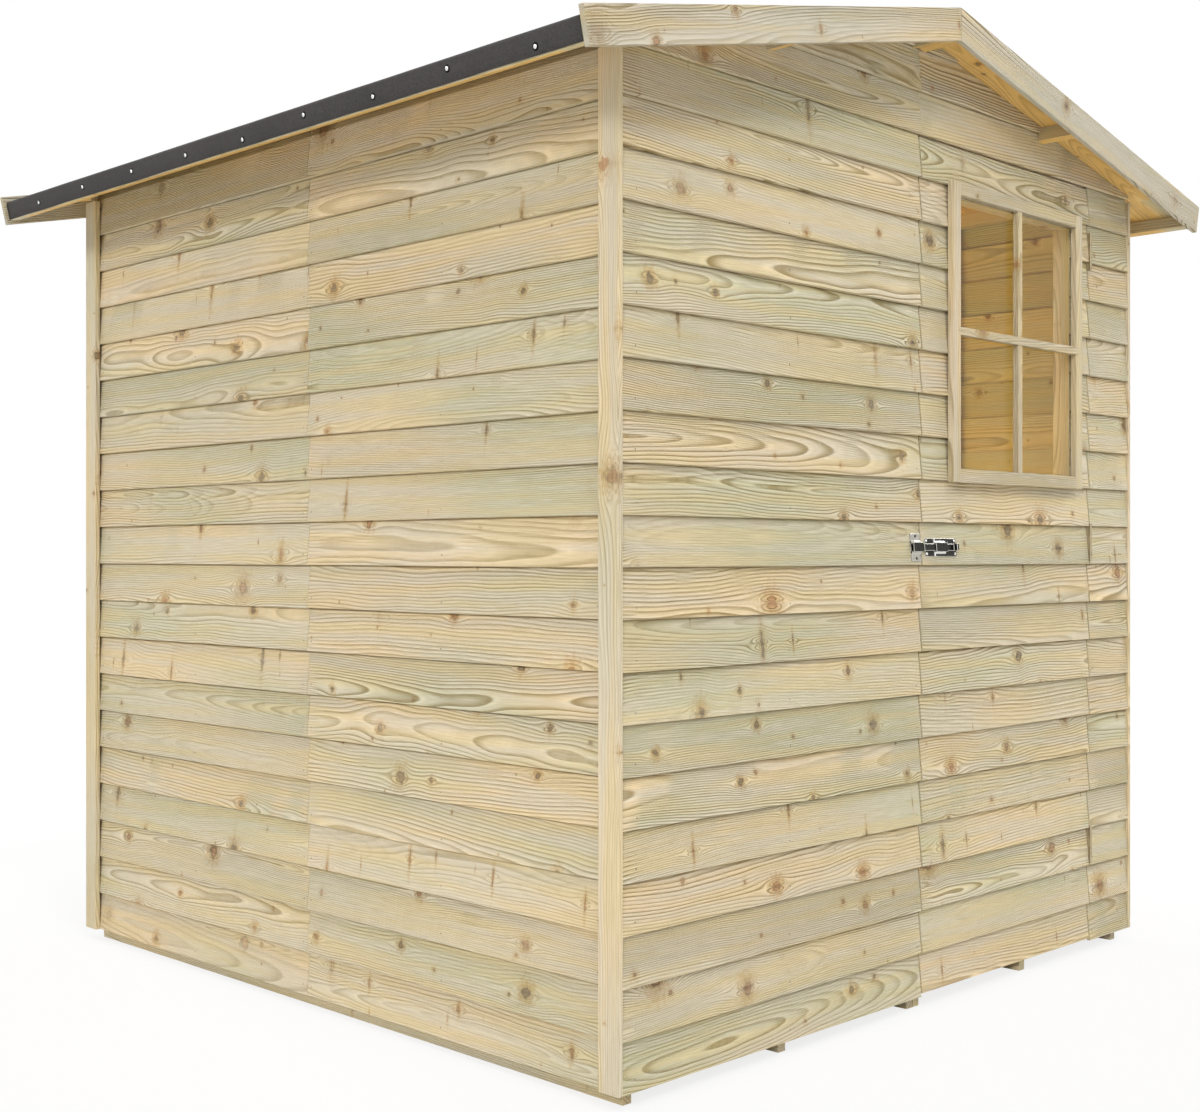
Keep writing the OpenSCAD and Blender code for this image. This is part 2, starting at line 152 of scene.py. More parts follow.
# %% Sums on sockets
class Value:
    def __init__(self, tree, socket=None):
        self.tree = tree
        self.socket = socket

    def node(self, kind, inputs=None, output=0, **settings):
        made = self.tree.nodes.new(kind)
        for name, setting in settings.items():
            setattr(made, name, setting)
        for key, given in (inputs or {}).items():
            if isinstance(given, Value):
                self.tree.links.new(given.socket, made.inputs[key])
            else:
                made.inputs[key].default_value = given
        return Value(self.tree, made.outputs[output])

    def other(self, output):
        """Another output of the node that this value comes from."""
        return Value(self.tree, self.socket.node.outputs[output])

    def through(self, kind, inputs=None, **settings):
        """A geometry node that this geometry runs through."""
        return self.node("GeometryNode" + kind, {"Geometry": self, **(inputs or {})}, **settings)

    def math(self, operation, *values):
        return self.node("ShaderNodeMath", dict(enumerate(values)), operation=operation)

    def __add__(self, other):
        return self.math("ADD", self, other)

    __radd__ = __add__

    def __sub__(self, other):
        return self.math("SUBTRACT", self, other)

    def __rsub__(self, other):
        return self.math("SUBTRACT", other, self)

    def __mul__(self, other):
        return self.math("MULTIPLY", self, other)

    __rmul__ = __mul__

    def __truediv__(self, other):
        return self.math("DIVIDE", self, other)

    def __pow__(self, other):
        return self.math("POWER", self, other)


# %% [markdown]
# A few shapes of curve come back in every finish: a soft step between two values, a mix of two
# colours, a vector put together from numbers, noise, and random numbers drawn from one seed.

# %% Small helpers for trees
def step(value, low, high):
    """0 below low and 1 above high, or the other way round where low is the larger."""
    sockets = {"Value": value, "From Min": low, "From Max": high}
    return value.node("ShaderNodeMapRange", sockets, interpolation_type="SMOOTHSTEP")


def mix(factor, first, second, blend="MIX"):
    sockets = {0: factor, 6: first, 7: second}
    return factor.node("ShaderNodeMix", sockets, 2, data_type="RGBA", blend_type=blend)


def scaled(colour, factor):
    return colour.node("ShaderNodeVectorMath", {0: colour, "Scale": factor}, operation="SCALE")


def vector(tree, x, y, z):
    return Value(tree).node("ShaderNodeCombineXYZ", {"X": x, "Y": y, "Z": z})


def parts_of(value):
    first = value.node("ShaderNodeSeparateXYZ", {0: value})
    return [first, first.other(1), first.other(2)]


def noise(place, scale=1.0, detail=2.0, kind="3D", output="Fac"):
    where = "W" if kind == "1D" else "Vector"
    sockets = {where: place, "Scale": scale, "Detail": detail}
    return place.node("ShaderNodeTexNoise", sockets, output, noise_dimensions=kind)


def drift_along(number):
    """A slow random curve along a number, from 0 to 1."""
    return noise(number, detail=0.0, kind="1D")


def flat_noise(x, y):
    return noise(vector(x.tree, x, y, 0.0), detail=0.0, kind="2D")


def chances(number):
    """Three random numbers from 0 to 1 that hang on one number."""
    kind = "ShaderNodeTexWhiteNoise"
    return parts_of(number.node(kind, {"W": number}, "Color", noise_dimensions="1D"))


def empty(name, kind=bpy.data.materials):
    """A new material or world with no nodes, and the start of its tree."""
    owner = kind.new(name)
    owner.use_nodes = True
    owner.node_tree.nodes.clear()
    return owner, Value(owner.node_tree)


def show(owner, shader, output="ShaderNodeOutputMaterial"):
    """Joins a shader to the output of a material or a world."""
    tree = owner.node_tree
    tree.links.new(shader.socket, tree.nodes.new(output).inputs["Surface"])
    print("finish", owner.name, len(tree.nodes), "nodes")
    return owner


def principled(material, colour, roughness, height, relief, others):
    """Closes a material. Its relief is the bump's strength and depth."""
    strength, depth = relief
    bump = {"Strength": strength, "Distance": depth, "Height": height}
    normal = height.node("ShaderNodeBump", bump)
    sockets = {"Base Color": colour, "Roughness": roughness, "Normal": normal, **others}
    return show(material, height.node("ShaderNodeBsdfPrincipled", sockets))


# %% [markdown]
# The floor shows as white to the camera and keeps the shadow: part of what the camera sees is light
# of strength 1, and the rest is a white surface that the shed shades. The world is white to the
# camera too, and to metal and glass, but lights the shed at about half that strength.

# %% Floor and world
FLOOR_SIZE = 30.0
FLOOR_GLOW = 0.8
PLAIN_LIGHT = 0.48


def seen_directly(start):
    camera_ray = start.node("ShaderNodeLightPath", output="Is Camera Ray")
    mirrored = camera_ray.other("Is Glossy Ray")
    through = camera_ray.other("Is Transmission Ray")
    return start.math("MAXIMUM", camera_ray, start.math("MAXIMUM", mirrored, through))


floor_finish, start = empty("studio_floor")
glow = start.node("ShaderNodeEmission", {"Color": (1, 1, 1, 1), "Strength": 1.0})
paint = start.node("ShaderNodeBsdfDiffuse", {"Color": (0.86, 0.86, 0.86, 1)})
share = seen_directly(start) * FLOOR_GLOW
show(floor_finish, start.node("ShaderNodeMixShader", {0: share, 1: paint, 2: glow}))

reach = FLOOR_SIZE / 2
corners = [(-reach, -reach, 0), (reach, -reach, 0), (reach, reach, 0), (-reach, reach, 0)]
plane = bpy.data.meshes.new("studio_floor")
plane.from_pydata(corners, [], [range(4)])
plane.materials.append(floor_finish)
studio_floor = bpy.data.objects.new("studio_floor", plane)
scene.collection.objects.link(studio_floor)

scene.world, start = empty("studio", bpy.data.worlds)
level = seen_directly(start) * (1 - PLAIN_LIGHT) + PLAIN_LIGHT
sky = start.node("ShaderNodeBackground", {"Color": (1, 1, 1, 1), "Strength": level})
show(scene.world, sky, "ShaderNodeOutputWorld")

# %% [markdown]
# Four broad suns stand round the shed. The strongest is low, over the camera's left shoulder, and the
# front one is high, so that the foot of every board throws a thin soft shadow on the board below it.
# A weak warm lamp inside stands for the daylight that pine boards throw back and forth in a small
# room, and is itself hidden. Each sun has its bearing and height in degrees, its strength and its
# width.

# %% Lamps
SUNS = {
    "key": (-60, 22, 1.26, 12),
    "front": (-15, 52, 0.77, 12),
    "right": (75, 40, 1.10, 30),
    "rear": (190, 42, 1.20, 30),
}
for name, (bearing, height, strength, spread) in SUNS.items():
    sun = bpy.data.lights.new(name, "SUN")
    sun.energy = strength
    sun.angle = math.radians(spread)
    lamp = bpy.data.objects.new(name, sun)
    lamp.rotation_euler = (math.radians(90 - height), 0, math.radians(bearing))
    scene.collection.objects.link(lamp)

room = bpy.data.lights.new("room", "POINT")
room.energy = 24.0
room.color = (1.0, 0.80, 0.25)
room.shadow_soft_size = 0.35
room_lamp = bpy.data.objects.new("room", room)
room_lamp.location = (-0.1, -0.1, 1.05)
for seen_by in ("camera", "transmission", "glossy"):
    setattr(room_lamp, "visible_" + seen_by, False)
scene.collection.objects.link(room_lamp)
print("lamps", len(SUNS) + 1)

# %% [markdown]
# ## Pine
# Every piece of timber carries two things for its finish: grain, its own place along, through and
# across the board, and board_seed, a number of its own. From these the finish works out what a saw
# shows in a log: rings about a pith that wanders beside the board, so that the rings come up as
# long arches in the middle of one board and as fine parallel lines in the next. Knots lie along the
# board, and the grain is pushed round them as water flows round a post.

# %% Knots
BOARD_WIDTH = PITCH + LAP
KNOTS = {"cell": 0.27, "smallest": 0.0045, "largest": 0.0125, "strength": 3.2}
PIN_KNOTS = {"cell": 0.20, "smallest": 0.0014, "largest": 0.0045, "strength": 2.4}


def cells(place, feature):
    sockets = {"W": place, "Scale": 1.0, "Randomness": 0.85}
    settings = {"voronoi_dimensions": "1D", "feature": feature}
    return place.node("ShaderNodeTexVoronoi", sockets, "Distance", **settings)


def knots(along, across, seed, upright, share, cell, smallest, largest, strength):
    """Returns the push on the grain, the knots' mask, rim and halo, and the distance to a knot."""
    place = along / cell
    first = cells(place, "F1")
    how_big, where, which = parts_of(first.other("Color"))
    window = step(cells(place, "F2") - first, 0.0, 0.5)
    there = step(which, 1 - share, 1 - share + 0.02)
    size = (how_big * how_big * (largest - smallest) + smallest) * there + 0.00001
    run = (place - first.other("W")) * cell
    rise = across - (where * 1.05 - 0.03) * BOARD_WIDTH
    rough = flat_noise(along * 110 + seed * 70, across * 110) - 0.5
    wide_run = run * (upright * 2.0 + 1.0)
    low_rise = rise * (1.0 - upright * 0.55)
    away = ((wide_run * wide_run + low_rise * low_rise) ** 0.5) * (rough * 0.9 + 1)
    push = rise * size * size / (run * run * 0.16 + rise * rise + size * size * 0.5) * window * (-strength)
    out = away / size
    mask = step(out, 1.15, 0.85) * there
    rim = step(out, 0.55, 0.95) * step(out, 1.6, 1.0) * step(where, 0.1, 0.5) * there
    halo = step(out, 4.2, 0.9) * window * there
    return push, mask, rim, halo, away


# %% [markdown]
# The finish starts from three tones that a board mixes by slow noise and by its own random numbers,
# so no two boards match: the pale wood, the green-grey of the pressure treatment and the peach of
# wood that the treatment missed. Thin streaks along the board are weathered to ash or keep a honey
# colour. Late wood darkens that tone in thin lines, with a painted highlight where the next ring
# begins that stands in for light on the raised grain, and then the knots go on. Two finishes have one
# thing more: overlap boards get a painted shade in the crease under the board above, and on the
# roof's underside the faces that face down near the walls get painted amber bounce light.

# %% Rings, fibres and colour
PALE = (0.650, 0.552, 0.368, 1)
GREEN = (0.485, 0.478, 0.308, 1)
PEACH = (0.735, 0.560, 0.350, 1)
LATE = (0.420, 0.350, 0.175, 1)
ASH = (0.610, 0.555, 0.440, 1)
HONEY = (0.680, 0.545, 0.290, 1)
PAINTED_BOUNCE_AMBER = (0.780, 0.480, 0.130, 1)
KNOT = (0.420, 0.205, 0.085, 1)
KNOT_DARK = (0.190, 0.145, 0.085, 1)
RIM = (0.100, 0.070, 0.040, 1)
RESIN = (0.800, 0.620, 0.400, 1)
PAINTED_CREASE_SHADE = (0.420, 0.370, 0.260, 1)
KNOT_RING = 0.0019
GRAIN_DEPTH = 0.0016


def pine(name, pale=PALE, green=GREEN, treated=0.0, warmed=0.0, lines=1.0, relief=1.0, spacing=1.0,
         lap=0.0, painted_warm_bounce=False):
    """Lines and relief are the late wood's strength and height; a lap is where boards are covered, with a
    painted crease shade just under it.
    """
    material, start = empty(name)
    grain = start.node("ShaderNodeAttribute", output="Vector", attribute_name="grain")
    seed = start.node("ShaderNodeAttribute", output="Fac", attribute_name="board_seed")
    run, depth, across = parts_of(grain)
    along = run + seed * 61.0
    pith_side, pith_deep, ring_size = chances(seed * 913.0)
    tone, tint, figure = chances(seed * 413.0 + 5.0)
    knotty = ring_size * 0.7 + 0.25
    upright = step(figure, 0.25, 0.15)

    def cloud(lengthwise, shift, crosswise):
        return flat_noise(along * lengthwise + seed * shift, across * crosswise)

    push, mask, rim, halo, knot_away = knots(along, across, seed, upright, knotty, **KNOTS)
    pin_knots = knots(along + 7.7, across, seed, upright, knotty, **PIN_KNOTS)
    pin_mask, pin_rim, pin_halo = pin_knots[1:4]

    wander = drift_along(along * 0.9 + seed * 90) - 0.5
    sink = drift_along(along * 0.8 + seed * 50) - 0.5
    wave = cloud(6.0, 90, 17.0) - 0.5
    side = across + push - (pith_side * 0.20 - 0.045) - wander * 0.06
    deep = depth + 0.010 + pith_deep * 0.045 + sink * 0.07
    radius = (side * side + deep * deep) ** 0.5 + wave * (figure * 0.0085 + 0.002)
    ring = radius / ((tone * tone * 0.0045 + 0.0036) * spacing)
    turn = start.math("FRACT", ring)
    ring_dark = chances(start.math("FLOOR", ring) + seed * 77.0)[0]
    late_line = step(turn, 0.42, 0.88) * step(turn, 1.0, 0.92)
    painted_ring_highlight = step(turn, 0.0, 0.05) * step(turn, 0.30, 0.08)
    patch = cloud(1.3, 33, 9.0)
    contrast = step(patch + figure * 0.45, 0.05, 0.90) * (ring_dark * 0.55 + 0.45)
    late_wood = late_line * contrast

    fibre = flat_noise(along * 18 + seed * 20, (across + depth * 0.8) * 620)
    warm_field = flat_noise(along * 2.1 + seed * 70, across * 9.0 + 4.0)
    green_share = step(cloud(1.7, 40, 7.0) * 1.3 + (tint - 0.5) * 0.75 + treated, 0.30, 1.15)
    peach_share = step(warm_field * 1.3 + (tone - 0.5) * 0.75 + warmed, 0.42, 1.25)
    colour = mix(peach_share * 0.75, mix(green_share * 0.75, pale, green), PEACH)
    weather = cloud(2.5, 50, 45.0) + fibre * 0.4
    colour = mix(step(weather, 0.62, 0.95) * 0.55, colour, ASH)
    colour = mix(step(weather, 0.72, 0.45) * 0.45, colour, HONEY)
    # Painted bounce light: faces that face down near the gables and the side walls turn amber, standing in
    # for warm light thrown back under the eaves.
    if painted_warm_bounce:
        spot = start.node("ShaderNodeTexCoord", output="Object")
        facing_down = step(parts_of(spot.other("Normal"))[2], -0.5, -0.8)
        near_gable = step(start.math("ABSOLUTE", parts_of(spot)[1]), half_d + 0.036, half_d)
        near_side = step(start.math("ABSOLUTE", parts_of(spot)[0]), half_w + 0.060, half_w + 0.020)
        colour = mix(facing_down * start.math("MAXIMUM", near_gable, near_side) * 0.85, colour, PAINTED_BOUNCE_AMBER)
    colour = mix(late_wood * lines, colour, LATE, "MULTIPLY")
    colour = mix(start.math("MAXIMUM", halo * 0.75, pin_halo * 0.5), colour, RESIN, "MULTIPLY")
    knot_colour = mix(step(tint + green_share * 0.5, 0.40, 0.80), KNOT, KNOT_DARK)
    knot_rings = start.math("FRACT", knot_away / KNOT_RING)
    colour = mix(mask * (0.85 - knot_rings * 0.35), colour, knot_colour)
    colour = mix(pin_mask * 0.72, colour, knot_colour)
    colour = mix(start.math("MAXIMUM", rim * 0.55, pin_rim * 0.5), colour, RIM)
    # Painted shade: a thin dark band on each board just under the foot of the board above, where the lap's
    # crease lies in shade.
    if lap:
        outside = step(depth, 0.004, 0.002)
        colour = mix(step(across, lap - 0.0055, lap - 0.001) * outside * 0.9, colour, PAINTED_CREASE_SHADE, "MULTIPLY")
    # Painted highlight: a light band where each ring begins stands for light on raised grain; the fibre
    # noise is the wood's own tone.
    painted_highlight_and_fibre = painted_ring_highlight * contrast * (0.16 * lines) + (fibre - 0.5) * 0.20
    colour = scaled(colour, painted_highlight_and_fibre + (ring_size - 0.5) * 0.10 + 1.0)

    height = late_line * (figure * 0.35 + 0.35) + fibre * 0.25
    roughness = late_wood * -0.10 + 0.70 - mask * 0.15
    relief = (0.9, GRAIN_DEPTH * relief)
    return principled(material, colour, roughness, height, relief, {"Specular IOR Level": 0.32})


# %% [markdown]
# The same pine is bought at different times and sawn to different sizes, so each trade of piece has
# its own blend: green-grey for the overlap boards, a little smoother on the side walls, warmer for the
# frame that the treatment hardly reached, and a cool cream with strong, close lines for the planed
# bargeboards.

# %% The pines
# The overlap boards take the painted crease shade along their lap line.
LAP_LINE = PITCH / math.cos(lean)
boards_pine = pine("boards_pine", treated=0.04, lines=1.0, relief=1.95, lap=LAP_LINE)
side_pine = pine("side_pine", treated=0.04, lines=0.82, relief=1.45, lap=LAP_LINE)
frame_pine = pine("frame_pine", (0.66, 0.50, 0.29, 1), (0.58, 0.46, 0.25, 1), warmed=0.08, lines=0.8)
strip_pine = pine("strip_pine", (0.69, 0.575, 0.385, 1), (0.50, 0.465, 0.31, 1), lines=0.6)
window_pine = pine("window_pine", (0.56, 0.475, 0.32, 1), (0.51, 0.44, 0.29, 1), lines=0.8)
planed = {"warmed": -0.15, "lines": 1.75, "spacing": 0.9}
barge_pine = pine("barge_pine", (0.535, 0.485, 0.385, 1), (0.455, 0.435, 0.335, 1), **planed)
# The roof's pine carries the painted amber bounce light on its underside.
roofing = {"warmed": -0.1, "lines": 0.6, "painted_warm_bounce": True}
roof_pine = pine("roof_pine", (0.58, 0.50, 0.30, 1), (0.50, 0.46, 0.28, 1), **roofing)
floor_pine = pine("floor_pine", (0.68, 0.57, 0.37, 1), (0.56, 0.51, 0.31, 1))

# %% [markdown]
# ## Rows of boards
# A wall of overlap boards is one board repeated, so a Geometry Nodes tree makes it. The tree cuts a
# plain board into short lengths, notes every point's place in the board as its grain, sets a row of
# copies a pitch apart, tips each by the lean, and gives it a seed. A slow noise then moves each
# board's lengths a millimetre or so, as real boards move when they dry.

# %% Geometry tree for rows of boards
def geometry_tree(name, **sockets):
    """A new tree and its inputs, which are given as the names of each kind of socket."""
    tree = bpy.data.node_groups.new(name, "GeometryNodeTree")
    names = [(socket, kind) for kind, together in sockets.items() for socket in together.split()]
    for socket, kind in names:
        tree.interface.new_socket(name=socket, in_out="INPUT", socket_type="NodeSocket" + kind)
    tree.interface.new_socket(name="Geometry", in_out="OUTPUT", socket_type="NodeSocketGeometry")
    entry = tree.nodes.new("NodeGroupInput")
    return tree, SimpleNamespace(**{socket: Value(tree, entry.outputs[socket]) for socket, kind in names})


def close_tree(tree, geometry, finish):
    done = geometry.through("SetMaterial", {"Material": finish})
    tree.links.new(done.socket, tree.nodes.new("NodeGroupOutput").inputs["Geometry"])
    print("geometry tree", tree.name, len(tree.nodes), "nodes")
    return tree


def board_tree():
    sizes = "pitch width thickness length lean wander"
    tree, given = geometry_tree("overlap_boards", Int="rows stations seed", Float=sizes, Material="finish")
    start = Value(tree)
    size = vector(tree, given.length, given.thickness, given.width)
    counts = {"Size": size, "Vertices X": given.stations, "Vertices Y": 2, "Vertices Z": 2}
    board = start.node("GeometryNodeMeshCube", counts, "Mesh")
    board = board.through("Transform", {"Translation": scaled(size, 0.5)})
    grain = {"Name": "grain", "Value": start.node("GeometryNodeInputPosition")}
    board = board.through("StoreNamedAttribute", grain, data_type="FLOAT_VECTOR", domain="POINT")
    points = {"Count": given.rows, "Offset": vector(tree, 0.0, 0.0, given.pitch)}
    line = start.node("GeometryNodeMeshLine", points, mode="OFFSET")
    tip = vector(tree, given.lean * -1, 0.0, 0.0)
    copies = {"Points": line, "Instance": board, "Rotation": tip}
    boards = start.node("GeometryNodeInstanceOnPoints", copies)
    number = start.node("FunctionNodeRandomValue", {8: given.seed}, 1, data_type="FLOAT")
    number = {"Name": "board_seed", "Value": number}
    boards = boards.through("StoreNamedAttribute", number, data_type="FLOAT", domain="INSTANCE")
    boards = boards.through("RealizeInstances")
    fetch = "GeometryNodeInputNamedAttribute"
    grain = start.node(fetch, {"Name": "grain"}, data_type="FLOAT_VECTOR")
    seed = start.node(fetch, {"Name": "board_seed"}, data_type="FLOAT")
    drift = noise(vector(tree, parts_of(grain)[0] * 2.2, seed * 90, 0.0), detail=1.0, output="Color")
    depth_drift, rise_drift = parts_of(drift)[:2]
    drop = start.math("FRACT", seed * 17) - 0.5
    into_wall = (depth_drift - 0.5) * given.wander * 0.6
    upward = (rise_drift - 0.5) * given.wander * 2.4 + drop * given.wander * 0.5
    boards = boards.through("SetPosition", {"Offset": vector(tree, 0.0, into_wall, upward)})
    return close_tree(tree, boards, given.finish)


rows_of_boards = board_tree()


# %% [markdown]
# Running a tree means hanging it on an empty mesh, setting its inputs by their identifiers, and
# keeping the result as a plain mesh. The carrier is thrown away, so no modifier is left behind. Its
# own empty slot goes too, so that the faces point at the tree's finish in the first slot.

# %% Run a tree
def evaluated_mesh(shape):
    depsgraph = bpy.context.evaluated_depsgraph_get()
    made = shape.evaluated_get(depsgraph)
    return bpy.data.meshes.new_from_object(made, preserve_all_data_layers=True, depsgraph=depsgraph)


def grow(tree, place, **sizes):
    """The mesh that a tree makes from some sizes, set at a place."""
    carrier = bpy.data.objects.new("carrier", bpy.data.meshes.new("carrier"))
    scene.collection.objects.link(carrier)
    modifier = carrier.modifiers.new("tree", "NODES")
    modifier.node_group = tree
    for socket in tree.interface.items_tree:
        if socket.in_out == "INPUT":
            modifier[socket.identifier] = sizes[socket.name]
    mesh = evaluated_mesh(carrier)
    bpy.data.objects.remove(carrier)
    mesh.materials.pop(index=0)
    mesh.transform(place)
    return mesh


# %% [markdown]
# Boards are sawn to the roof's slope after they are nailed up, and so are these: each row grows as a
# full rectangle and planes then cut it. Every cut leaves open ends, which are filled. Pieces of one
# mesh are found by walking from neighbour to neighbour, for the window's cut and for the sticks of
# the frame.

# %% Saw cuts
def next_edges(edge):
    return [other for vert in edge.verts for other in vert.link_edges]


def next_faces(face):
    return [other for edge in face.edges for other in edge.link_faces]


def groups_of(parts, neighbours):
    """Groups parts that touch. A dict keeps their order, so that each run gives the same groups."""
    left = dict.fromkeys(parts)
    while left:
        group = [left.popitem()[0]]
        for part in group:
            for other in neighbours(part):
                if other in left:
                    del left[other]
                    group.append(other)
        yield group


def open_edges(shape):
    return [edge for edge in shape.edges if edge.is_boundary]


def cut_by(shape, point, outward, clear=False):
    everything = [*shape.verts, *shape.edges, *shape.faces]
    plane = {"plane_co": point, "plane_no": outward, "clear_outer": clear}
    bmesh.ops.bisect_plane(shape, geom=everything, dist=1e-6, **plane)


def saw(shape, point, outward):
    """Cuts away what lies outside a plane and closes the ends."""
    cut_by(shape, point, outward, clear=True)
    bmesh.ops.holes_fill(shape, edges=open_edges(shape), sides=0)


def run_of(edge):
    return (edge.verts[1].co - edge.verts[0].co).normalized()


def cut_out(shape, planes, through):
    """Cuts a hole: the faces inside all the planes go, and the hole's walls are bridged."""
    for point, outward in planes:
        cut_by(shape, point, outward)

    def within(place):
        return all((place - point).dot(outward) < 0 for point, outward in planes)

    inside = [face for face in shape.faces if within(face.calc_center_median())]
    bmesh.ops.delete(shape, geom=inside, context="FACES")
    for group in list(groups_of(open_edges(shape), next_edges)):
        rims = [edge for edge in group if abs(run_of(edge).dot(through)) < 0.7]
        bmesh.ops.bridge_loops(shape, edges=rims)
    loose = [vert for vert in shape.verts if not vert.link_faces]
    bmesh.ops.delete(shape, geom=loose, context="VERTS")


def finished_mesh(shape, name, *finishes):
    """Turns a BMesh into a mesh that has its finishes."""
    mesh = bpy.data.meshes.new(name)
    shape.to_mesh(mesh)
    shape.free()
    for finish in finishes:
        mesh.materials.append(finish)
    return mesh


# %% [markdown]
# Planed and sawn edges are never knife sharp. A Bevel modifier takes a fine round off every edge of
# a piece, and a Solidify modifier gives a sheet its thickness. What they make is kept as the piece's
# own mesh before the piece is set on its body.

# %% Finish a piece
EDGE_ANGLE = math.radians(35)
# Eased metal edges can take the second finish, a painted highlight; other edges keep the finish beside
# them.
PAINTED_GLINT_EDGE = 1
AS_BESIDE = -1


def piece(name, mesh, body, slot, stands_for=(), bevel=0.0, edge_finish=AS_BESIDE, sheet=0.0):
    shape = bpy.data.objects.new(name, mesh)
    scene.collection.objects.link(shape)
    if bevel:
        edges = shape.modifiers.new("edges", "BEVEL")
        edges.width = bevel
        edges.segments = 2
        edges.limit_method = "ANGLE"
        edges.angle_limit = EDGE_ANGLE
        edges.material = edge_finish
    if sheet:
        thickness = shape.modifiers.new("thickness", "SOLIDIFY")
        thickness.thickness = sheet
        thickness.offset = -1
    if shape.modifiers:
        made = evaluated_mesh(shape)
        shape.modifiers.clear()
        shape.data = made
    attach(shape, body)
    if stands_for:
        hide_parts(*stands_for)
    shape.data.calc_loop_triangles()
    print(name, len(shape.data.loop_triangles), "triangles")


# %% [markdown]
# ## Walls
# Each wall is two panels that meet at an upright seam. A panel is named for the node it stands for,
# and says where its first board's outer foot is, which way it faces and how long its boards are.

# %% Wall panels
STATION = 0.055
CLAD_EDGE = 0.0009
WANDER = 0.0011
UNDER_ROOF = 0.0002


def roof_plane(side):
    """The plane that saws the boards of one side, just under the roof boards."""
    return Vector((side * half_w, 0, eaves_z - UNDER_ROOF)), off_slope(side)


def boards(place, length, seed, finish, **sizes):
    """A mesh of boards of one length."""
    stations = max(2, round(length / STATION) + 1)
    sizes.update(length=length, stations=stations, seed=seed, finish=finish)
    return grow(rows_of_boards, place, **sizes)


def board_rows(place, first, rows, length, seed, finish=boards_pine):
    """Overlap boards, with the first row at that many rows over the foot of the wall."""
    place = place @ Matrix.Translation(UP * first * PITCH)
    tipped = {"width": BOARD_WIDTH / math.cos(lean), "thickness": BOARD_T * math.cos(lean)}
    return boards(place, length, seed, finish, rows=rows, pitch=PITCH, lean=lean, wander=WANDER, **tipped)


def joined(meshes, cuts=()):
    """Joins meshes in one that keeps their finish, sawn by planes."""
    shape = bmesh.new()
    for mesh in meshes:
        shape.from_mesh(mesh)
    for point, outward in cuts:
        saw(shape, point, outward)
    bmesh.ops.recalc_face_normals(shape, faces=shape.faces)
    return finished_mesh(shape, "boards", *meshes[0].materials)


def panel(node, meshes, cut):
    """One panel of a wall, which stands for its node."""
    piece(node + "_boards", joined(meshes, [cut]), "root", "boards", [node], CLAD_EDGE)


SIDE_PANELS = {
    "left_cladding_front": (-1, 63),
    "left_cladding_rear": (-1, 64),
    "right_cladding_front": (1, 13),
    "right_cladding_rear": (1, 14),
}
for node, (side, seed) in SIDE_PANELS.items():
    near, far = span(node, 1)
    place = facing((side * half_w, near if side > 0 else far, clad_z), QUARTER_TURN * side)
    rows = board_rows(place, 0, ROWS, far - near, seed, side_pine)
    panel(node, [rows], roof_plane(side))

# %% [markdown]
# The gables run on up under the roof. In front, the boards under the door's head stop at the
# doorway, and the three rows above it run to the middle seam. The rear gable is two plain halves.
# Each panel has the place where it starts, its groups of rows as first row, rows, length and seed,
# and the plane that saws it.

# %% Gable panels
DOOR_GAP = 0.005
door_left, door_right = span("door_cladding_lower", 0)
jamb_left = span("front_cladding_right", 0)[0]
half_run = half_w - SEAM / 2
over_door = (ROWS, GABLE_ROWS - ROWS, half_run)
left_of_door = (0, ROWS, door_left - DOOR_GAP + half_w, 21)

GABLE_PANELS = {
    "front_cladding_left": (-half_w, [left_of_door, (*over_door, 22)], roof_plane(-1)),
    "front_cladding_right": (jamb_left, [(0, ROWS, half_w - jamb_left, 23)], (UP * wall_z, UP)),
    "front_cladding_gable": (SEAM / 2, [(*over_door, 24)], roof_plane(1)),
    "rear_cladding_right": (half_w, [(0, GABLE_ROWS, half_run, 25)], roof_plane(1)),
    "rear_cladding_left": (-SEAM / 2, [(0, GABLE_ROWS, half_run, 26)], roof_plane(-1)),
}
for node, (x, groups, cut) in GABLE_PANELS.items():
    y, turn = (-half_d, 0) if node.startswith("front") else (half_d, HALF_TURN)
    place = facing((x, y, clad_z), turn)
    panel(node, [board_rows(place, *group) for group in groups], cut)


# %% [markdown]
# ## Door
# The door's boards line up with the wall's rows. They are trimmed at the foot and the head, and the
# light for the window is cut through them last.

# %% Door boards
light_low, light_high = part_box("window_glass")
GLASS_GAP = 0.0003
light_left = light_low.x - GLASS_GAP
light_right = light_high.x + GLASS_GAP
light_bottom = light_low.z - GLASS_GAP
light_top = light_high.z + GLASS_GAP
door_foot = span("door_cladding_lower", 2)[0]
door_head = span("door_cladding_upper", 2)[1]

hung = facing((door_left, -half_d, clad_z), 0)
shape = bmesh.new()
shape.from_mesh(board_rows(hung, 0, ROWS, door_right - door_left, 31))
saw(shape, UP * door_foot, -UP)
saw(shape, UP * door_head, UP)
window_planes = [
    (ALONG_X * light_left, -ALONG_X),
    (ALONG_X * light_right, ALONG_X),
    (UP * light_bottom, -UP),
    (UP * light_top, UP),
]
cut_out(shape, window_planes, ALONG_Y)
bmesh.ops.recalc_face_normals(shape, faces=shape.faces)
print("door boards, open edges left:", len(open_edges(shape)))
door_mesh = finished_mesh(shape, "door_boards", boards_pine)
door_nodes = ["door_cladding_lower", "door_cladding_beside_window", "door_cladding_upper"]
piece("door_boards", door_mesh, "door", "boards", door_nodes, CLAD_EDGE)


# %% [markdown]
# ## Timber of the frame
# Studs, rails, rafters, strips and bargeboards keep the shape that the model gives them. A copy of
# each is cleaned, its edges are eased, and every separate stick in it gets its grain: along its
# longest edge, with its broadest face outward, as a sawmill would cut it.

# %% Sticks from the model's nodes
STICK_EDGE = 0.0012


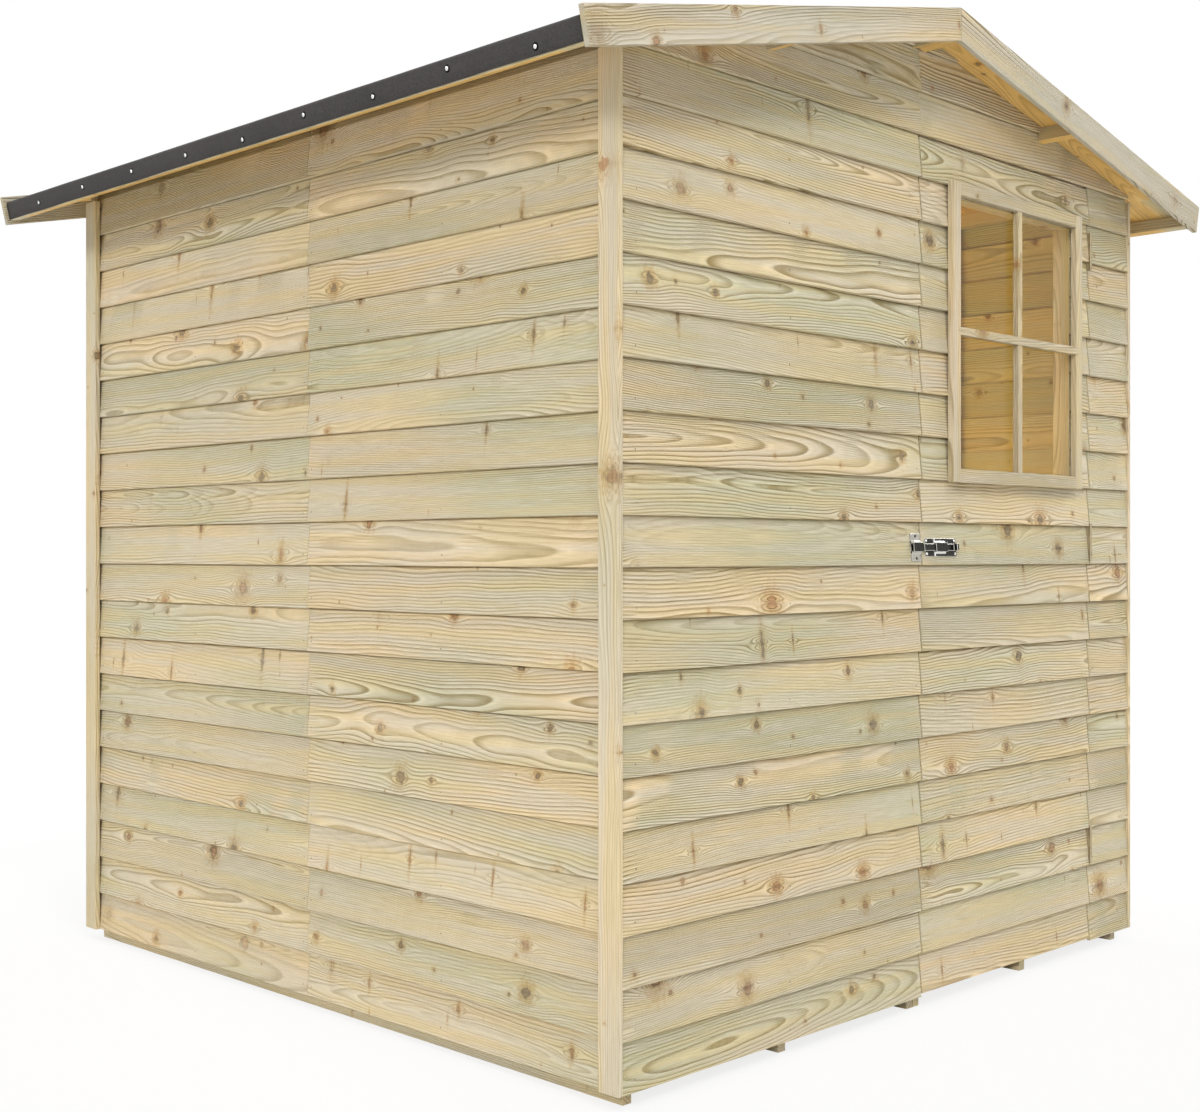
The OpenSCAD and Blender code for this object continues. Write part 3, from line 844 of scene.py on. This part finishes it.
def sticks(shape):
    """Groups a mesh's faces into separate solids."""
    return groups_of(shape.faces, next_faces)


def clean_copy(node):
    shape = bmesh.new()
    shape.from_mesh(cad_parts[node].data)
    bmesh.ops.remove_doubles(shape, verts=shape.verts, dist=0.00002)
    bmesh.ops.dissolve_limit(shape, angle_limit=math.radians(1), verts=shape.verts, edges=shape.edges)
    return shape


def middle_of(part):
    """Breaks ties by place, so a stick's grain never depends on the order of its faces."""
    return tuple(round(sum(axis) / len(axis), 4) for axis in zip(*(vert.co for vert in part.verts)))


def first_corner(group):
    return min(tuple(face.calc_center_median()) for face in group)


def grain_axes(group):
    """Along, through and across one stick."""
    edges = [edge for face in group for edge in face.edges]
    longest = max(edges, key=lambda edge: (round(edge.calc_length(), 4), middle_of(edge)))
    along = run_of(longest)
    if max(along, key=abs) < 0:
        along.negate()
    sides = [face for face in group if abs(face.normal.dot(along)) < 0.5]
    broadest = max(sides, key=lambda face: (round(face.calc_area(), 6), middle_of(face)))
    depth = -broadest.normal
    return along, depth, along.cross(depth)


def write_grain(shape, seed):
    draw = random.Random(seed)
    grain = shape.verts.layers.float_vector.new("grain")
    number = shape.verts.layers.float.new("board_seed")
    solids = sorted(sticks(shape), key=first_corner)
    for group in solids:
        axes = grain_axes(group)
        verts = dict.fromkeys(vert for face in group for vert in face.verts)
        start_at = [min(vert.co.dot(axis) for vert in verts) for axis in axes]
        own = draw.random()
        for vert in verts:
            vert[grain] = [vert.co.dot(axis) - low for axis, low in zip(axes, start_at)]
            vert[number] = own
    return len(solids)


def timber(node, body, slot, finish, seed):
    shape = clean_copy(node)
    print(node, write_grain(shape, seed), "sticks")
    mesh = finished_mesh(shape, node + "_timber", finish)
    piece(node + "_timber", mesh, body, slot, [node], STICK_EDGE)


# %% [markdown]
# The table names every stick of the shed, with the body it moves with, the slot of its finish and
# the pine it is made of. Each node has a seed of its own, counted from the first, and the corner
# strips have one that was picked for its few, small knots.

# %% All the sticks
FRAMES = [f"{wall}_{part}" for wall in ("left", "right", "rear", "front") for part in ("studs", "rails")]
BARGES = [f"bargeboard_{end}_{side}" for end in ("front", "rear") for side in ("left", "right")]
TIMBER = [
    ([*FRAMES, "gable_rafters"], "root", "framing", frame_pine),
    (["floor_joists"], "root", "floor", floor_pine),
    (["corner_strips"], "root", "strips", strip_pine),
    (["roof_rails"], "root", "roof_wood", roof_pine),
    (BARGES, "root", "bargeboards", barge_pine),
    (["door_stiles", "door_rails"], "door", "framing", frame_pine),
    (["window_stiles", "window_rails"], "door", "strips", window_pine),
]
FIRST_SEED = 100
PICKED_SEEDS = {"corner_strips": 111}
every_stick = [(node, *rest) for nodes, *rest in TIMBER for node in nodes]
for seed, (node, body, slot, finish) in enumerate(every_stick, FIRST_SEED):
    timber(node, body, slot, finish, PICKED_SEEDS.get(node, seed))

# %% [markdown]
# The window's bars cross in front of the glass. The upright one stops at the frame's rails, and the
# level one is let into the stiles, so its ends show as small laps on their faces.

# %% Glazing bars
BAR_W = 0.018
BAR_X = 0.371
BAR_Z = 1.441
BAR_LAP = 0.010
BAR_PROUD = 0.0008
BAR_BACK = 0.001
OFF_GLASS = 0.0003
frame_front = span("window_stiles", 1)[0]
glass_front = light_low.y


def about(middle, width):
    return middle - width / 2, middle + width / 2


def boxes(name, spans, seed, finish, edge):
    """A piece of the window made of plain boxes, each from its spans in x, y and z."""
    shape = bmesh.new()
    for box in spans:
        size = [high - low for low, high in box]
        middle = [(low + high) / 2 for low, high in box]
        matrix = Matrix.Translation(middle) @ Matrix.Diagonal((*size, 1))
        bmesh.ops.create_cube(shape, size=1, matrix=matrix)
    write_grain(shape, seed)
    piece(name, finished_mesh(shape, name, finish), "door", "strips", bevel=edge)


light_zs = (light_bottom, light_top)
level_xs = (light_left - BAR_LAP, light_right + BAR_LAP)
bars = [
    (about(BAR_X, BAR_W), (frame_front + BAR_BACK, glass_front - OFF_GLASS), light_zs),
    (level_xs, (frame_front - BAR_PROUD, glass_front - 2 * OFF_GLASS), about(BAR_Z, BAR_W)),
]
boxes("glazing_bars", bars, seed=140, finish=window_pine, edge=0.001)

# %% [markdown]
# The light is cut through boards that lean, so its edge would be a row of wedges. A thin lining
# closes them behind the glass, and shows through it as a smooth jamb.

# %% Window lining
LINING_T = 0.0025
LINING_DEPTH = 0.020
lining_front = light_high.y + OFF_GLASS
depth = (lining_front, lining_front + LINING_DEPTH)
left, right = light_left + LINING_T, light_right - LINING_T
linings = [
    ((light_left, left), depth, light_zs),
    ((right, light_right), depth, light_zs),
    ((left, right), depth, (light_bottom, light_bottom + LINING_T)),
    ((left, right), depth, (light_top - LINING_T, light_top)),
]
boxes("window_lining", linings, seed=141, finish=frame_pine, edge=0.0004)

# %% [markdown]
# ## Roof and floor
# The roof boards run down each slope and lie edge to edge on the rails. They come from the same tree
# as the walls, with no lean, and with their frame turned so that the thickness points down.

# %% Roof boards
ROOF_BOARDS = 20
FLOOR_BOARDS = 18
JOINT = 0.0012
SAWN_EDGE = 0.0007
FLAT_WANDER = 0.0002


def flat_boards(place, count, total, length, thickness, seed, finish):
    """Boards that lie edge to edge over a total width."""
    pitch = total / count
    level = {"width": pitch - JOINT, "thickness": thickness, "lean": 0.0, "wander": FLAT_WANDER}
    return boards(place, length, seed, finish, rows=count, pitch=pitch, **level)


roof_near, roof_far = span("roof_felt_left", 1)
roof_run = roof_far - roof_near
slope_reach = span("roof_boards_right", 0)[1]
slope_l = (slope_reach - ROOF_T * math.sin(ROOF_SLOPE)) / math.cos(ROOF_SLOPE)
sawn_t = ROOF_T - 2 * UNDER_ROOF
first_edges = {
    "left": (-1, roof_far - JOINT / 2, 41),
    "right": (1, roof_near + JOINT / 2, 42),
}
for label, (side, first_edge, seed) in first_edges.items():
    top = slope_point(side, SEAM / 2, ROOF_T - UNDER_ROOF)
    place = frame_of(top + ALONG_Y * first_edge, down_slope(side), -off_slope(side))
    mesh = flat_boards(place, ROOF_BOARDS, roof_run, slope_l - SEAM, sawn_t, seed, roof_pine)
    node = "roof_boards_" + label
    piece(node + "_sawn", mesh, "root", "roof_wood", [node], SAWN_EDGE)

# %% [markdown]
# The floor is two half panels of boards that run from side to side.

# %% Floor boards
floor_low, floor_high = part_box("floor_boards")
floor_size = floor_high - floor_low
half_floor = floor_high.x - SEAM / 2
meshes = []
for left, seed in ((floor_low.x, 51), (SEAM / 2, 52)):
    corner = Vector((left, floor_low.y + JOINT / 2, floor_high.z))
    place = frame_of(corner, ALONG_X, -UP)
    half = flat_boards(place, FLOOR_BOARDS, floor_size.y, half_floor, floor_size.z, seed, floor_pine)
    meshes.append(half)
piece("floor_boards_sawn", joined(meshes), "root", "floor", ["floor_boards"], SAWN_EDGE)

# %% [markdown]
# ## Felt
# Roofing felt is a bitumen sheet with fine grit pressed into it. Two widths cover each slope, the
# upper one lapped over the lower, and a strip folds over the ridge. The lower width is bent down
# over the ends of the roof boards, and its edge hangs a little unevenly.

# %% Felt finish
felt_finish, start = empty("charcoal_felt")
spot = start.node("ShaderNodeTexCoord", output="Object")
grit = noise(spot, 900.0, 2.0)
patch = noise(spot, 7.0, 3.0)
streak = noise(spot, 60.0, 3.0)
felt_colour = mix(step(grit, 0.35, 0.7), (0.034, 0.031, 0.030, 1), (0.082, 0.075, 0.072, 1))
felt_colour = scaled(felt_colour, patch * 0.35 + streak * 0.2 + 0.72)
roughness = 0.88 - grit * 0.12
height = grit + streak * 0.6
principled(felt_finish, felt_colour, roughness, height, (0.6, 0.0007), {"Specular IOR Level": 0.3})

# %% [markdown]
# Each width is a strip of short faces swept along the shed, given its thickness by a Solidify
# modifier. Its outline across the roof is a few points, with an arc at the bend. Where boards hold
# the felt it ripples little, and its loose edge at the eaves takes the whole of the ripple.

# %% Felt sheets
FELT_DROP = 0.040
FELT_BEND = 0.006
BEND_STEPS = 4
FELT_LAP_AT = 0.60
FELT_LAP = 0.08
RIDGE_STRIP = 0.150
FELT_STEP = 0.03
HELD = 0.3
LOOSE = 1.0
PEAK_ROUND = 0.0012
SWELL_RATES = (7, 13, 29)
top_v = ROOF_T + FELT_T


def sheet_mesh(name, outline, seed, ripple):
    """Sweeps an outline along the roof, with a slow ripple that each point takes its share of."""
    draw = random.Random(seed)
    phases = [draw.uniform(0, 6.28) for rate in SWELL_RATES]
    count = round(roof_run / FELT_STEP)
    shape = bmesh.new()
    rings = []
    for station in range(count + 1):
        y = roof_near + roof_run * station / count
        swell = sum(math.sin(y * rate + phase) for rate, phase in zip(SWELL_RATES, phases)) / 3
        sag = UP * (swell - 1) * ripple
        rings.append([shape.verts.new(point + ALONG_Y * y + sag * share) for point, share in outline])
    for one, two in zip(rings, rings[1:]):
        for a, b, c, d in zip(one, one[1:], two[1:], two):
            shape.faces.new((a, b, c, d))
    bmesh.ops.recalc_face_normals(shape, faces=shape.faces)
    if sum(face.normal.z for face in shape.faces) < 0:
        bmesh.ops.reverse_faces(shape, faces=shape.faces)
    for face in shape.faces:
        face.smooth = True
    return finished_mesh(shape, name, felt_finish)


def felt_piece(name, outline, seed, ripple, stands_for=()):
    mesh = sheet_mesh(name, outline, seed, ripple)
    piece(name, mesh, "root", "felt", stands_for, sheet=FELT_T * 0.8)


def held(side, points):
    """Points down a slope and over its underside, where boards hold the sheet."""
    return [(slope_point(side, u, v), HELD) for u, v in points]


drop_end = ROOF_T - FELT_DROP
lap_v = top_v + FELT_T
fold_u = slope_l + FELT_T
bend_u = fold_u - FELT_BEND
bend = []
for turn in range(1, BEND_STEPS + 1):
    angle = QUARTER_TURN * turn / BEND_STEPS
    bend.append((bend_u + FELT_BEND * math.sin(angle), top_v - FELT_BEND + FELT_BEND * math.cos(angle)))
LOWER = [(u, top_v) for u in (FELT_LAP_AT - FELT_LAP, 0.75, 0.9, bend_u)]
LOWER += [*bend, (fold_u, (top_v + drop_end) / 2)]
UPPER = [(0.004, top_v + 0.0004), (0.3, top_v + 0.0004), (0.5, top_v + 0.0008)]
UPPER += [(0.53, lap_v), (FELT_LAP_AT, lap_v)]
CAP = [(RIDGE_STRIP, lap_v), (0.08, lap_v), (0.02, lap_v)]

for side, label in ((-1, "left"), (1, "right")):
    lower = [*held(side, LOWER), (slope_point(side, fold_u, drop_end), LOOSE)]
    felt_piece("roof_felt_lower_" + label, lower, 60 + side, 0.0009, ["roof_felt_" + label])
    felt_piece("roof_felt_upper_" + label, held(side, UPPER), 70 + side, 0.0006)

peak = ridge_z + lap_v / math.cos(ROOF_SLOPE) - PEAK_ROUND
cap = [*held(-1, CAP), (UP * peak, HELD), *held(1, CAP[::-1])]
felt_piece("ridge_felt_strip", cap, 80, 0.0005, ["ridge_felt"])

# %% [markdown]
# ## Nails and screws
# The felt is held by clout nails with broad bright heads. The boards are held by small ones, a nail
# through the foot of every board at every stud. A tree sets one head on each point of a line.

# %% Geometry tree for nail heads
def nail_tree():
    sizes = "radius rise scatter"
    kinds = {"Int": "count seed", "Vector": "offset", "Float": sizes, "Material": "finish"}
    tree, given = geometry_tree("nail_heads", **kinds)
    start = Value(tree)
    head = {"Segments": 12, "Rings": 6, "Radius": 1.0}
    head = start.node("GeometryNodeMeshUVSphere", head, "Mesh")
    head = head.through("Transform", {"Scale": vector(tree, given.radius, given.radius, given.rise)})
    head = head.through("SetShadeSmooth")
    points = {"Count": given.count, "Offset": given.offset}
    line = start.node("GeometryNodeMeshLine", points, mode="OFFSET")
    low = scaled(vector(tree, -1.0, -1.0, 0.0), given.scatter)
    high = scaled(vector(tree, 1.0, 1.0, 0.0), given.scatter)
    bounds = {0: low, 1: high, 8: given.seed}
    shift = start.node("FunctionNodeRandomValue", bounds, data_type="FLOAT_VECTOR")
    line = line.through("SetPosition", {"Offset": shift})
    heads = start.node("GeometryNodeInstanceOnPoints", {"Points": line, "Instance": head})
    return close_tree(tree, heads.through("RealizeInstances"), given.finish)


nails_in_line = nail_tree()

# %% [markdown]
# Plated steel is a metal with a fine uneven polish. The bolt's faces are painted almost black, a
# painted dark reflection of what a flat plated face would mirror, and its edges carry a painted
# highlight in a bright copy of the same steel. The clout nails are bright. The hinges have taken on
# the colour of the wood beside them.

# %% Metal finishes
def plated(name, colour, roughness, grime):
    material, start = empty(name)
    spot = start.node("ShaderNodeTexCoord", output="Object")
    cloud = noise(spot, 90.0, 3.0)
    fine = noise(spot, 1400.0, 2.0)
    dark = [channel * 0.55 for channel in colour]
    shade = mix(step(cloud, 0.45, 0.75) * grime, (*colour, 1), (*dark, 1))
    rough = cloud * 0.18 + fine * 0.08 + roughness
    return principled(material, shade, rough, fine + cloud, (0.25, 0.0002), {"Metallic": 1.0})


nail_steel = plated("nail_steel", (0.86, 0.86, 0.85), 0.22, 0.2)
# A near-black copy of the plated steel, used as a painted shadow round each clout nail's head.
nail_shadow_disc = plated("nail_shadow_disc", (0.012, 0.011, 0.010), 0.35, 0.2)
board_nail_steel = plated("board_nail_steel", (0.30, 0.27, 0.22), 0.42, 0.8)
# Three copies of one plated steel paint the bolt's reflections: a bright one for painted highlights, a
# middle one for the keeper's faces and a near-black one for painted dark reflection.
painted_highlight_steel = plated("painted_highlight_steel", (0.84, 0.82, 0.77), 0.14, 0.2)
keeper_painted_reflection_steel = plated("keeper_painted_reflection_steel", (0.50, 0.48, 0.42), 0.20, 0.9)
painted_dark_reflection_steel = plated("painted_dark_reflection_steel", (0.034, 0.033, 0.026), 0.16, 0.4)
hinge_steel = plated("hinge_steel", (0.47, 0.40, 0.27), 0.55, 0.4)


# %% [markdown]
# The clout nails stand about 220 mm apart along each eaves edge, and others hold the laps of the
# felt and the edges of the ridge strip. Under each head lies a painted shadow: a second, wider and
# flatter disc of near-black metal.

# %% Clout nails
CLOUT_RADIUS = 0.0046
CLOUT_RISE = 0.0024
SHADOW_DISC_RADIUS = 0.0076
SHADOW_DISC_RISE = 0.0013
EAVES_NAILS = 9
EAVES_FIRST = -0.895
EAVES_SPACING = 0.218
LAP_NAILS = 13
LAP_SPACING = 0.149
NAIL_BELOW = -0.010
FROM_EDGE = 0.02


def nail_line(place, count, spacing, radius, rise, scatter, seed, finish):
    sizes = {"radius": radius, "rise": rise, "scatter": scatter, "seed": seed, "finish": finish}
    return grow(nails_in_line, place, count=count, offset=(spacing, 0.0, 0.0), **sizes)


def on_felt(side, u, v, outward):
    """The frame of a line of nails that runs along the shed: where it starts and how it faces."""
    first = slope_point(side, u, v) + ALONG_Y * EAVES_FIRST
    return frame_of(first, ALONG_Y, outward.cross(ALONG_Y))


def clout_lines(radius, rise, finish):
    """Every line of clout nails as discs of one radius, in the same places each time."""
    meshes = []
    for side in (-1, 1):
        edge = on_felt(side, fold_u, NAIL_BELOW, down_slope(side))
        lap = on_felt(side, FELT_LAP_AT - FROM_EDGE, lap_v, off_slope(side))
        cap = on_felt(side, RIDGE_STRIP - FROM_EDGE, lap_v, off_slope(side))
        lines = [
            (edge, EAVES_NAILS, EAVES_SPACING, 0.006, 90),
            (lap, LAP_NAILS, LAP_SPACING, 0.004, 93),
            (cap, LAP_NAILS, LAP_SPACING, 0.004, 96),
        ]
        for place, count, spacing, scatter, seed in lines:
            meshes.append(nail_line(place, count, spacing, radius, rise, scatter, seed + side, finish))
    return joined(meshes)


piece("clout_nails", clout_lines(CLOUT_RADIUS, CLOUT_RISE, nail_steel), "root", "hardware")
# Painted shadows: a wider, flatter near-black disc under each clout nail's head.
piece("clout_nail_shadow_discs", clout_lines(SHADOW_DISC_RADIUS, SHADOW_DISC_RISE, nail_shadow_disc), "root", "felt")

# %% [markdown]
# A board's nail goes through its foot into the stud behind, so the columns of nail heads follow the
# studs. The heads are flush and dull, and show as small dots.

# %% Board nails
NAIL_UP = 0.020
NAIL_RADIUS = 0.0016
NAIL_RISE = 0.0004
NAIL_SCATTER = 0.0025
NAIL_SEED = 200
SEEDS_A_WALL = 20
STUD_HEIGHT = 1.0


def stud_lines(node, along):
    """Middles of a node's upright sticks along a wall."""
    shape = clean_copy(node)
    lines = set()
    for group in sticks(shape):
        places = [vert.co for face in group for vert in face.verts]
        heights = [co.z for co in places]
        reach = [co.dot(along) for co in places]
        if max(heights) - min(heights) > STUD_HEIGHT:
            lines.add(round((min(reach) + max(reach)) / 2, 4))
    shape.free()
    return sorted(lines)


def nail_column(place, seed):
    """A column of nails, one through the foot of each board of a wall."""
    on_foot = Vector((0, NAIL_UP * BOARD_T / PITCH, NAIL_UP))
    heads_out = place @ frame_of(on_foot, UP, -ALONG_X)
    return nail_line(heads_out, ROWS, PITCH, NAIL_RADIUS, NAIL_RISE, NAIL_SCATTER, seed, board_nail_steel)


WALLS = {
    "left": (ALONG_X * -half_w, ALONG_Y, -QUARTER_TURN),
    "right": (ALONG_X * half_w, ALONG_Y, QUARTER_TURN),
    "rear": (ALONG_Y * half_d, ALONG_X, HALF_TURN),
    "front": (ALONG_Y * -half_d, ALONG_X, 0),
}
for index, (wall, (middle, along, turn)) in enumerate(WALLS.items()):
    foot = middle + UP * clad_z
    lines = enumerate(stud_lines(wall + "_studs", along), NAIL_SEED + SEEDS_A_WALL * index)
    columns = [nail_column(facing(foot + along * line, turn), seed) for seed, line in lines]
    piece(wall + "_wall_nails", joined(columns), "root", "hardware")

# %% [markdown]
# ## Bolt, keeper and hinges
# The slide bolt lies on the leaning face of one board. Its plate, housing and keeper keep the
# model's shape with eased edges, and screws with crossed slots hold them.

# %% Metalwork from the model's nodes
LOCK_ROW = 10
LOCK_UP = 0.037
PLATE_T = 0.002
ON_FACE = 0.0004
OTHER_FACE = 2
lock_z = clad_z + LOCK_ROW * PITCH + LOCK_UP
lock_point = Vector((0, -half_d + LOCK_UP * BOARD_T / PITCH, lock_z))
on_lock_board = Matrix.Translation(lock_point) @ Matrix.Rotation(-lean, 4, "X")


def metalwork(node, body, bevel, bright_at, faces=painted_highlight_steel):
    """Gives a node a painted dark reflection, with painted highlights on its eased edges, and another
    painted tone on outward faces at some depths.
    """
    shape = clean_copy(node)
    to_board = on_lock_board.inverted()
    for face in shape.faces:
        depth = -(to_board @ face.calc_center_median()).y
        outward = -(to_board.to_3x3() @ face.normal).y
        if outward > 0.9 and any(abs(depth - bright) < ON_FACE for bright in bright_at):
            face.material_index = OTHER_FACE
    mesh = finished_mesh(shape, node + "_plated", painted_dark_reflection_steel, painted_highlight_steel, faces)
    piece(node + "_plated", mesh, body, "hardware", [node], bevel, PAINTED_GLINT_EDGE)


# Dark faces, bright edges and bright or middle outward faces paint the reflections of one plated steel.
metalwork("bolt_plate", "door", 0.0006, [2 * PLATE_T])
metalwork("slide_bolt", "bolt", 0.0008, [])
metalwork("bolt_keeper", "root", 0.0005, [PLATE_T, 2 * PLATE_T], keeper_painted_reflection_steel)

# %% [markdown]
# A screw head is a low dome of rings. The points that fall in a cross over its middle are pushed
# down, which makes the slots.

# %% Screws
SCREW_R = 0.0031
SCREW_RINGS = (0.12, 0.3, 0.5, 0.58, 0.8, 0.94, 1.0)
SCREW_SPOKES = 24
SLOT_EVERY = SCREW_SPOKES // 4
SLOT_REACH = 0.55
SLOT_DEPTH = 0.0007
SLOT_TURN = 90.0
DOME = 0.0011
SCREW_FOOT = -0.0006


def screw_ring(shape, place, share):
    """One ring of points of a screw's head, at a share of its radius."""
    ring = []
    for spoke in range(SCREW_SPOKES):
        angle = math.tau * spoke / SCREW_SPOKES
        height = DOME * (1 - share**4)
        off_slot = min(spoke % SLOT_EVERY, SLOT_EVERY - spoke % SLOT_EVERY)
        if share < SLOT_REACH and off_slot < 1.5 / (1 + 4 * share):
            height -= SLOT_DEPTH
        radius = share * SCREW_R
        point = Vector((radius * math.cos(angle), radius * math.sin(angle), height))
        ring.append(shape.verts.new(place @ point))
    return ring


def screw_mesh(name, places, finish):
    shape = bmesh.new()
    for place in places:
        rings = [screw_ring(shape, place, share) for share in SCREW_RINGS]
        foot = place.to_3x3() @ (UP * SCREW_FOOT)
        rings.append([shape.verts.new(vert.co + foot) for vert in rings[-1]])
        middle = shape.verts.new(place @ (UP * (DOME - SLOT_DEPTH)))
        for spoke in range(SCREW_SPOKES):
            after = (spoke + 1) % SCREW_SPOKES
            shape.faces.new((middle, rings[0][spoke], rings[0][after]))
            for inner, outer in zip(rings, rings[1:]):
                shape.faces.new((inner[spoke], outer[spoke], outer[after], inner[after]))
        shape.faces.new(rings[-1][::-1])
    bmesh.ops.recalc_face_normals(shape, faces=shape.faces)
    return finished_mesh(shape, name, finish)


PLATE_H = 0.039
KEEPER_H = 0.058
SCREW_IN = 0.0055
plate_left, plate_right = span("bolt_plate", 0)
keeper_middle = sum(span("bolt_keeper", 0)) / 2


def screw_at(x, up):
    """The frame of a screw on a plate on the lock board. Its slot turns a little with its place."""
    outward = Matrix.Rotation(QUARTER_TURN, 4, "X") @ Matrix.Rotation(x * SLOT_TURN, 4, "Z")
    return on_lock_board @ Matrix.Translation((x, -PLATE_T, up)) @ outward


def screws(name, xs, height, finish, body):
    """Screws near the lower and the upper edge of a plate of some height."""
    places = [screw_at(x, up * (height / 2 - SCREW_IN)) for x in xs for up in (-1, 1)]
    piece(name, screw_mesh(name, places, finish), body, "hardware")


plate_xs = (plate_left + SCREW_IN, plate_right - SCREW_IN)
screws("bolt_plate_screws", plate_xs, PLATE_H, painted_highlight_steel, "door")
screws("keeper_screws", [keeper_middle], KEEPER_H, painted_dark_reflection_steel, "root")

# %% [markdown]
# The hinges and the glass keep the model's own nodes and only get a finish. The glass is a clear
# sheet with a faint waviness.

# %% Hinges and glass
glass_finish, start = empty("window_sheet")
swell = noise(start.node("ShaderNodeTexCoord", output="Object"), 3.0, 1.0)
clear = {"IOR": 1.16, "Transmission Weight": 1.0}
principled(glass_finish, (0.93, 0.95, 0.93, 1), swell * 0.02 + 0.005, swell, (0.15, 0.002), clear)

KEPT_NODES = {
    "hinge_leaves_door": hinge_steel,
    "hinge_leaves_frame": hinge_steel,
    "window_glass": glass_finish,
}
for node, finish in KEPT_NODES.items():
    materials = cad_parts[node].data.materials
    materials.clear()
    materials.append(finish)
    print(node, "gets", finish.name)
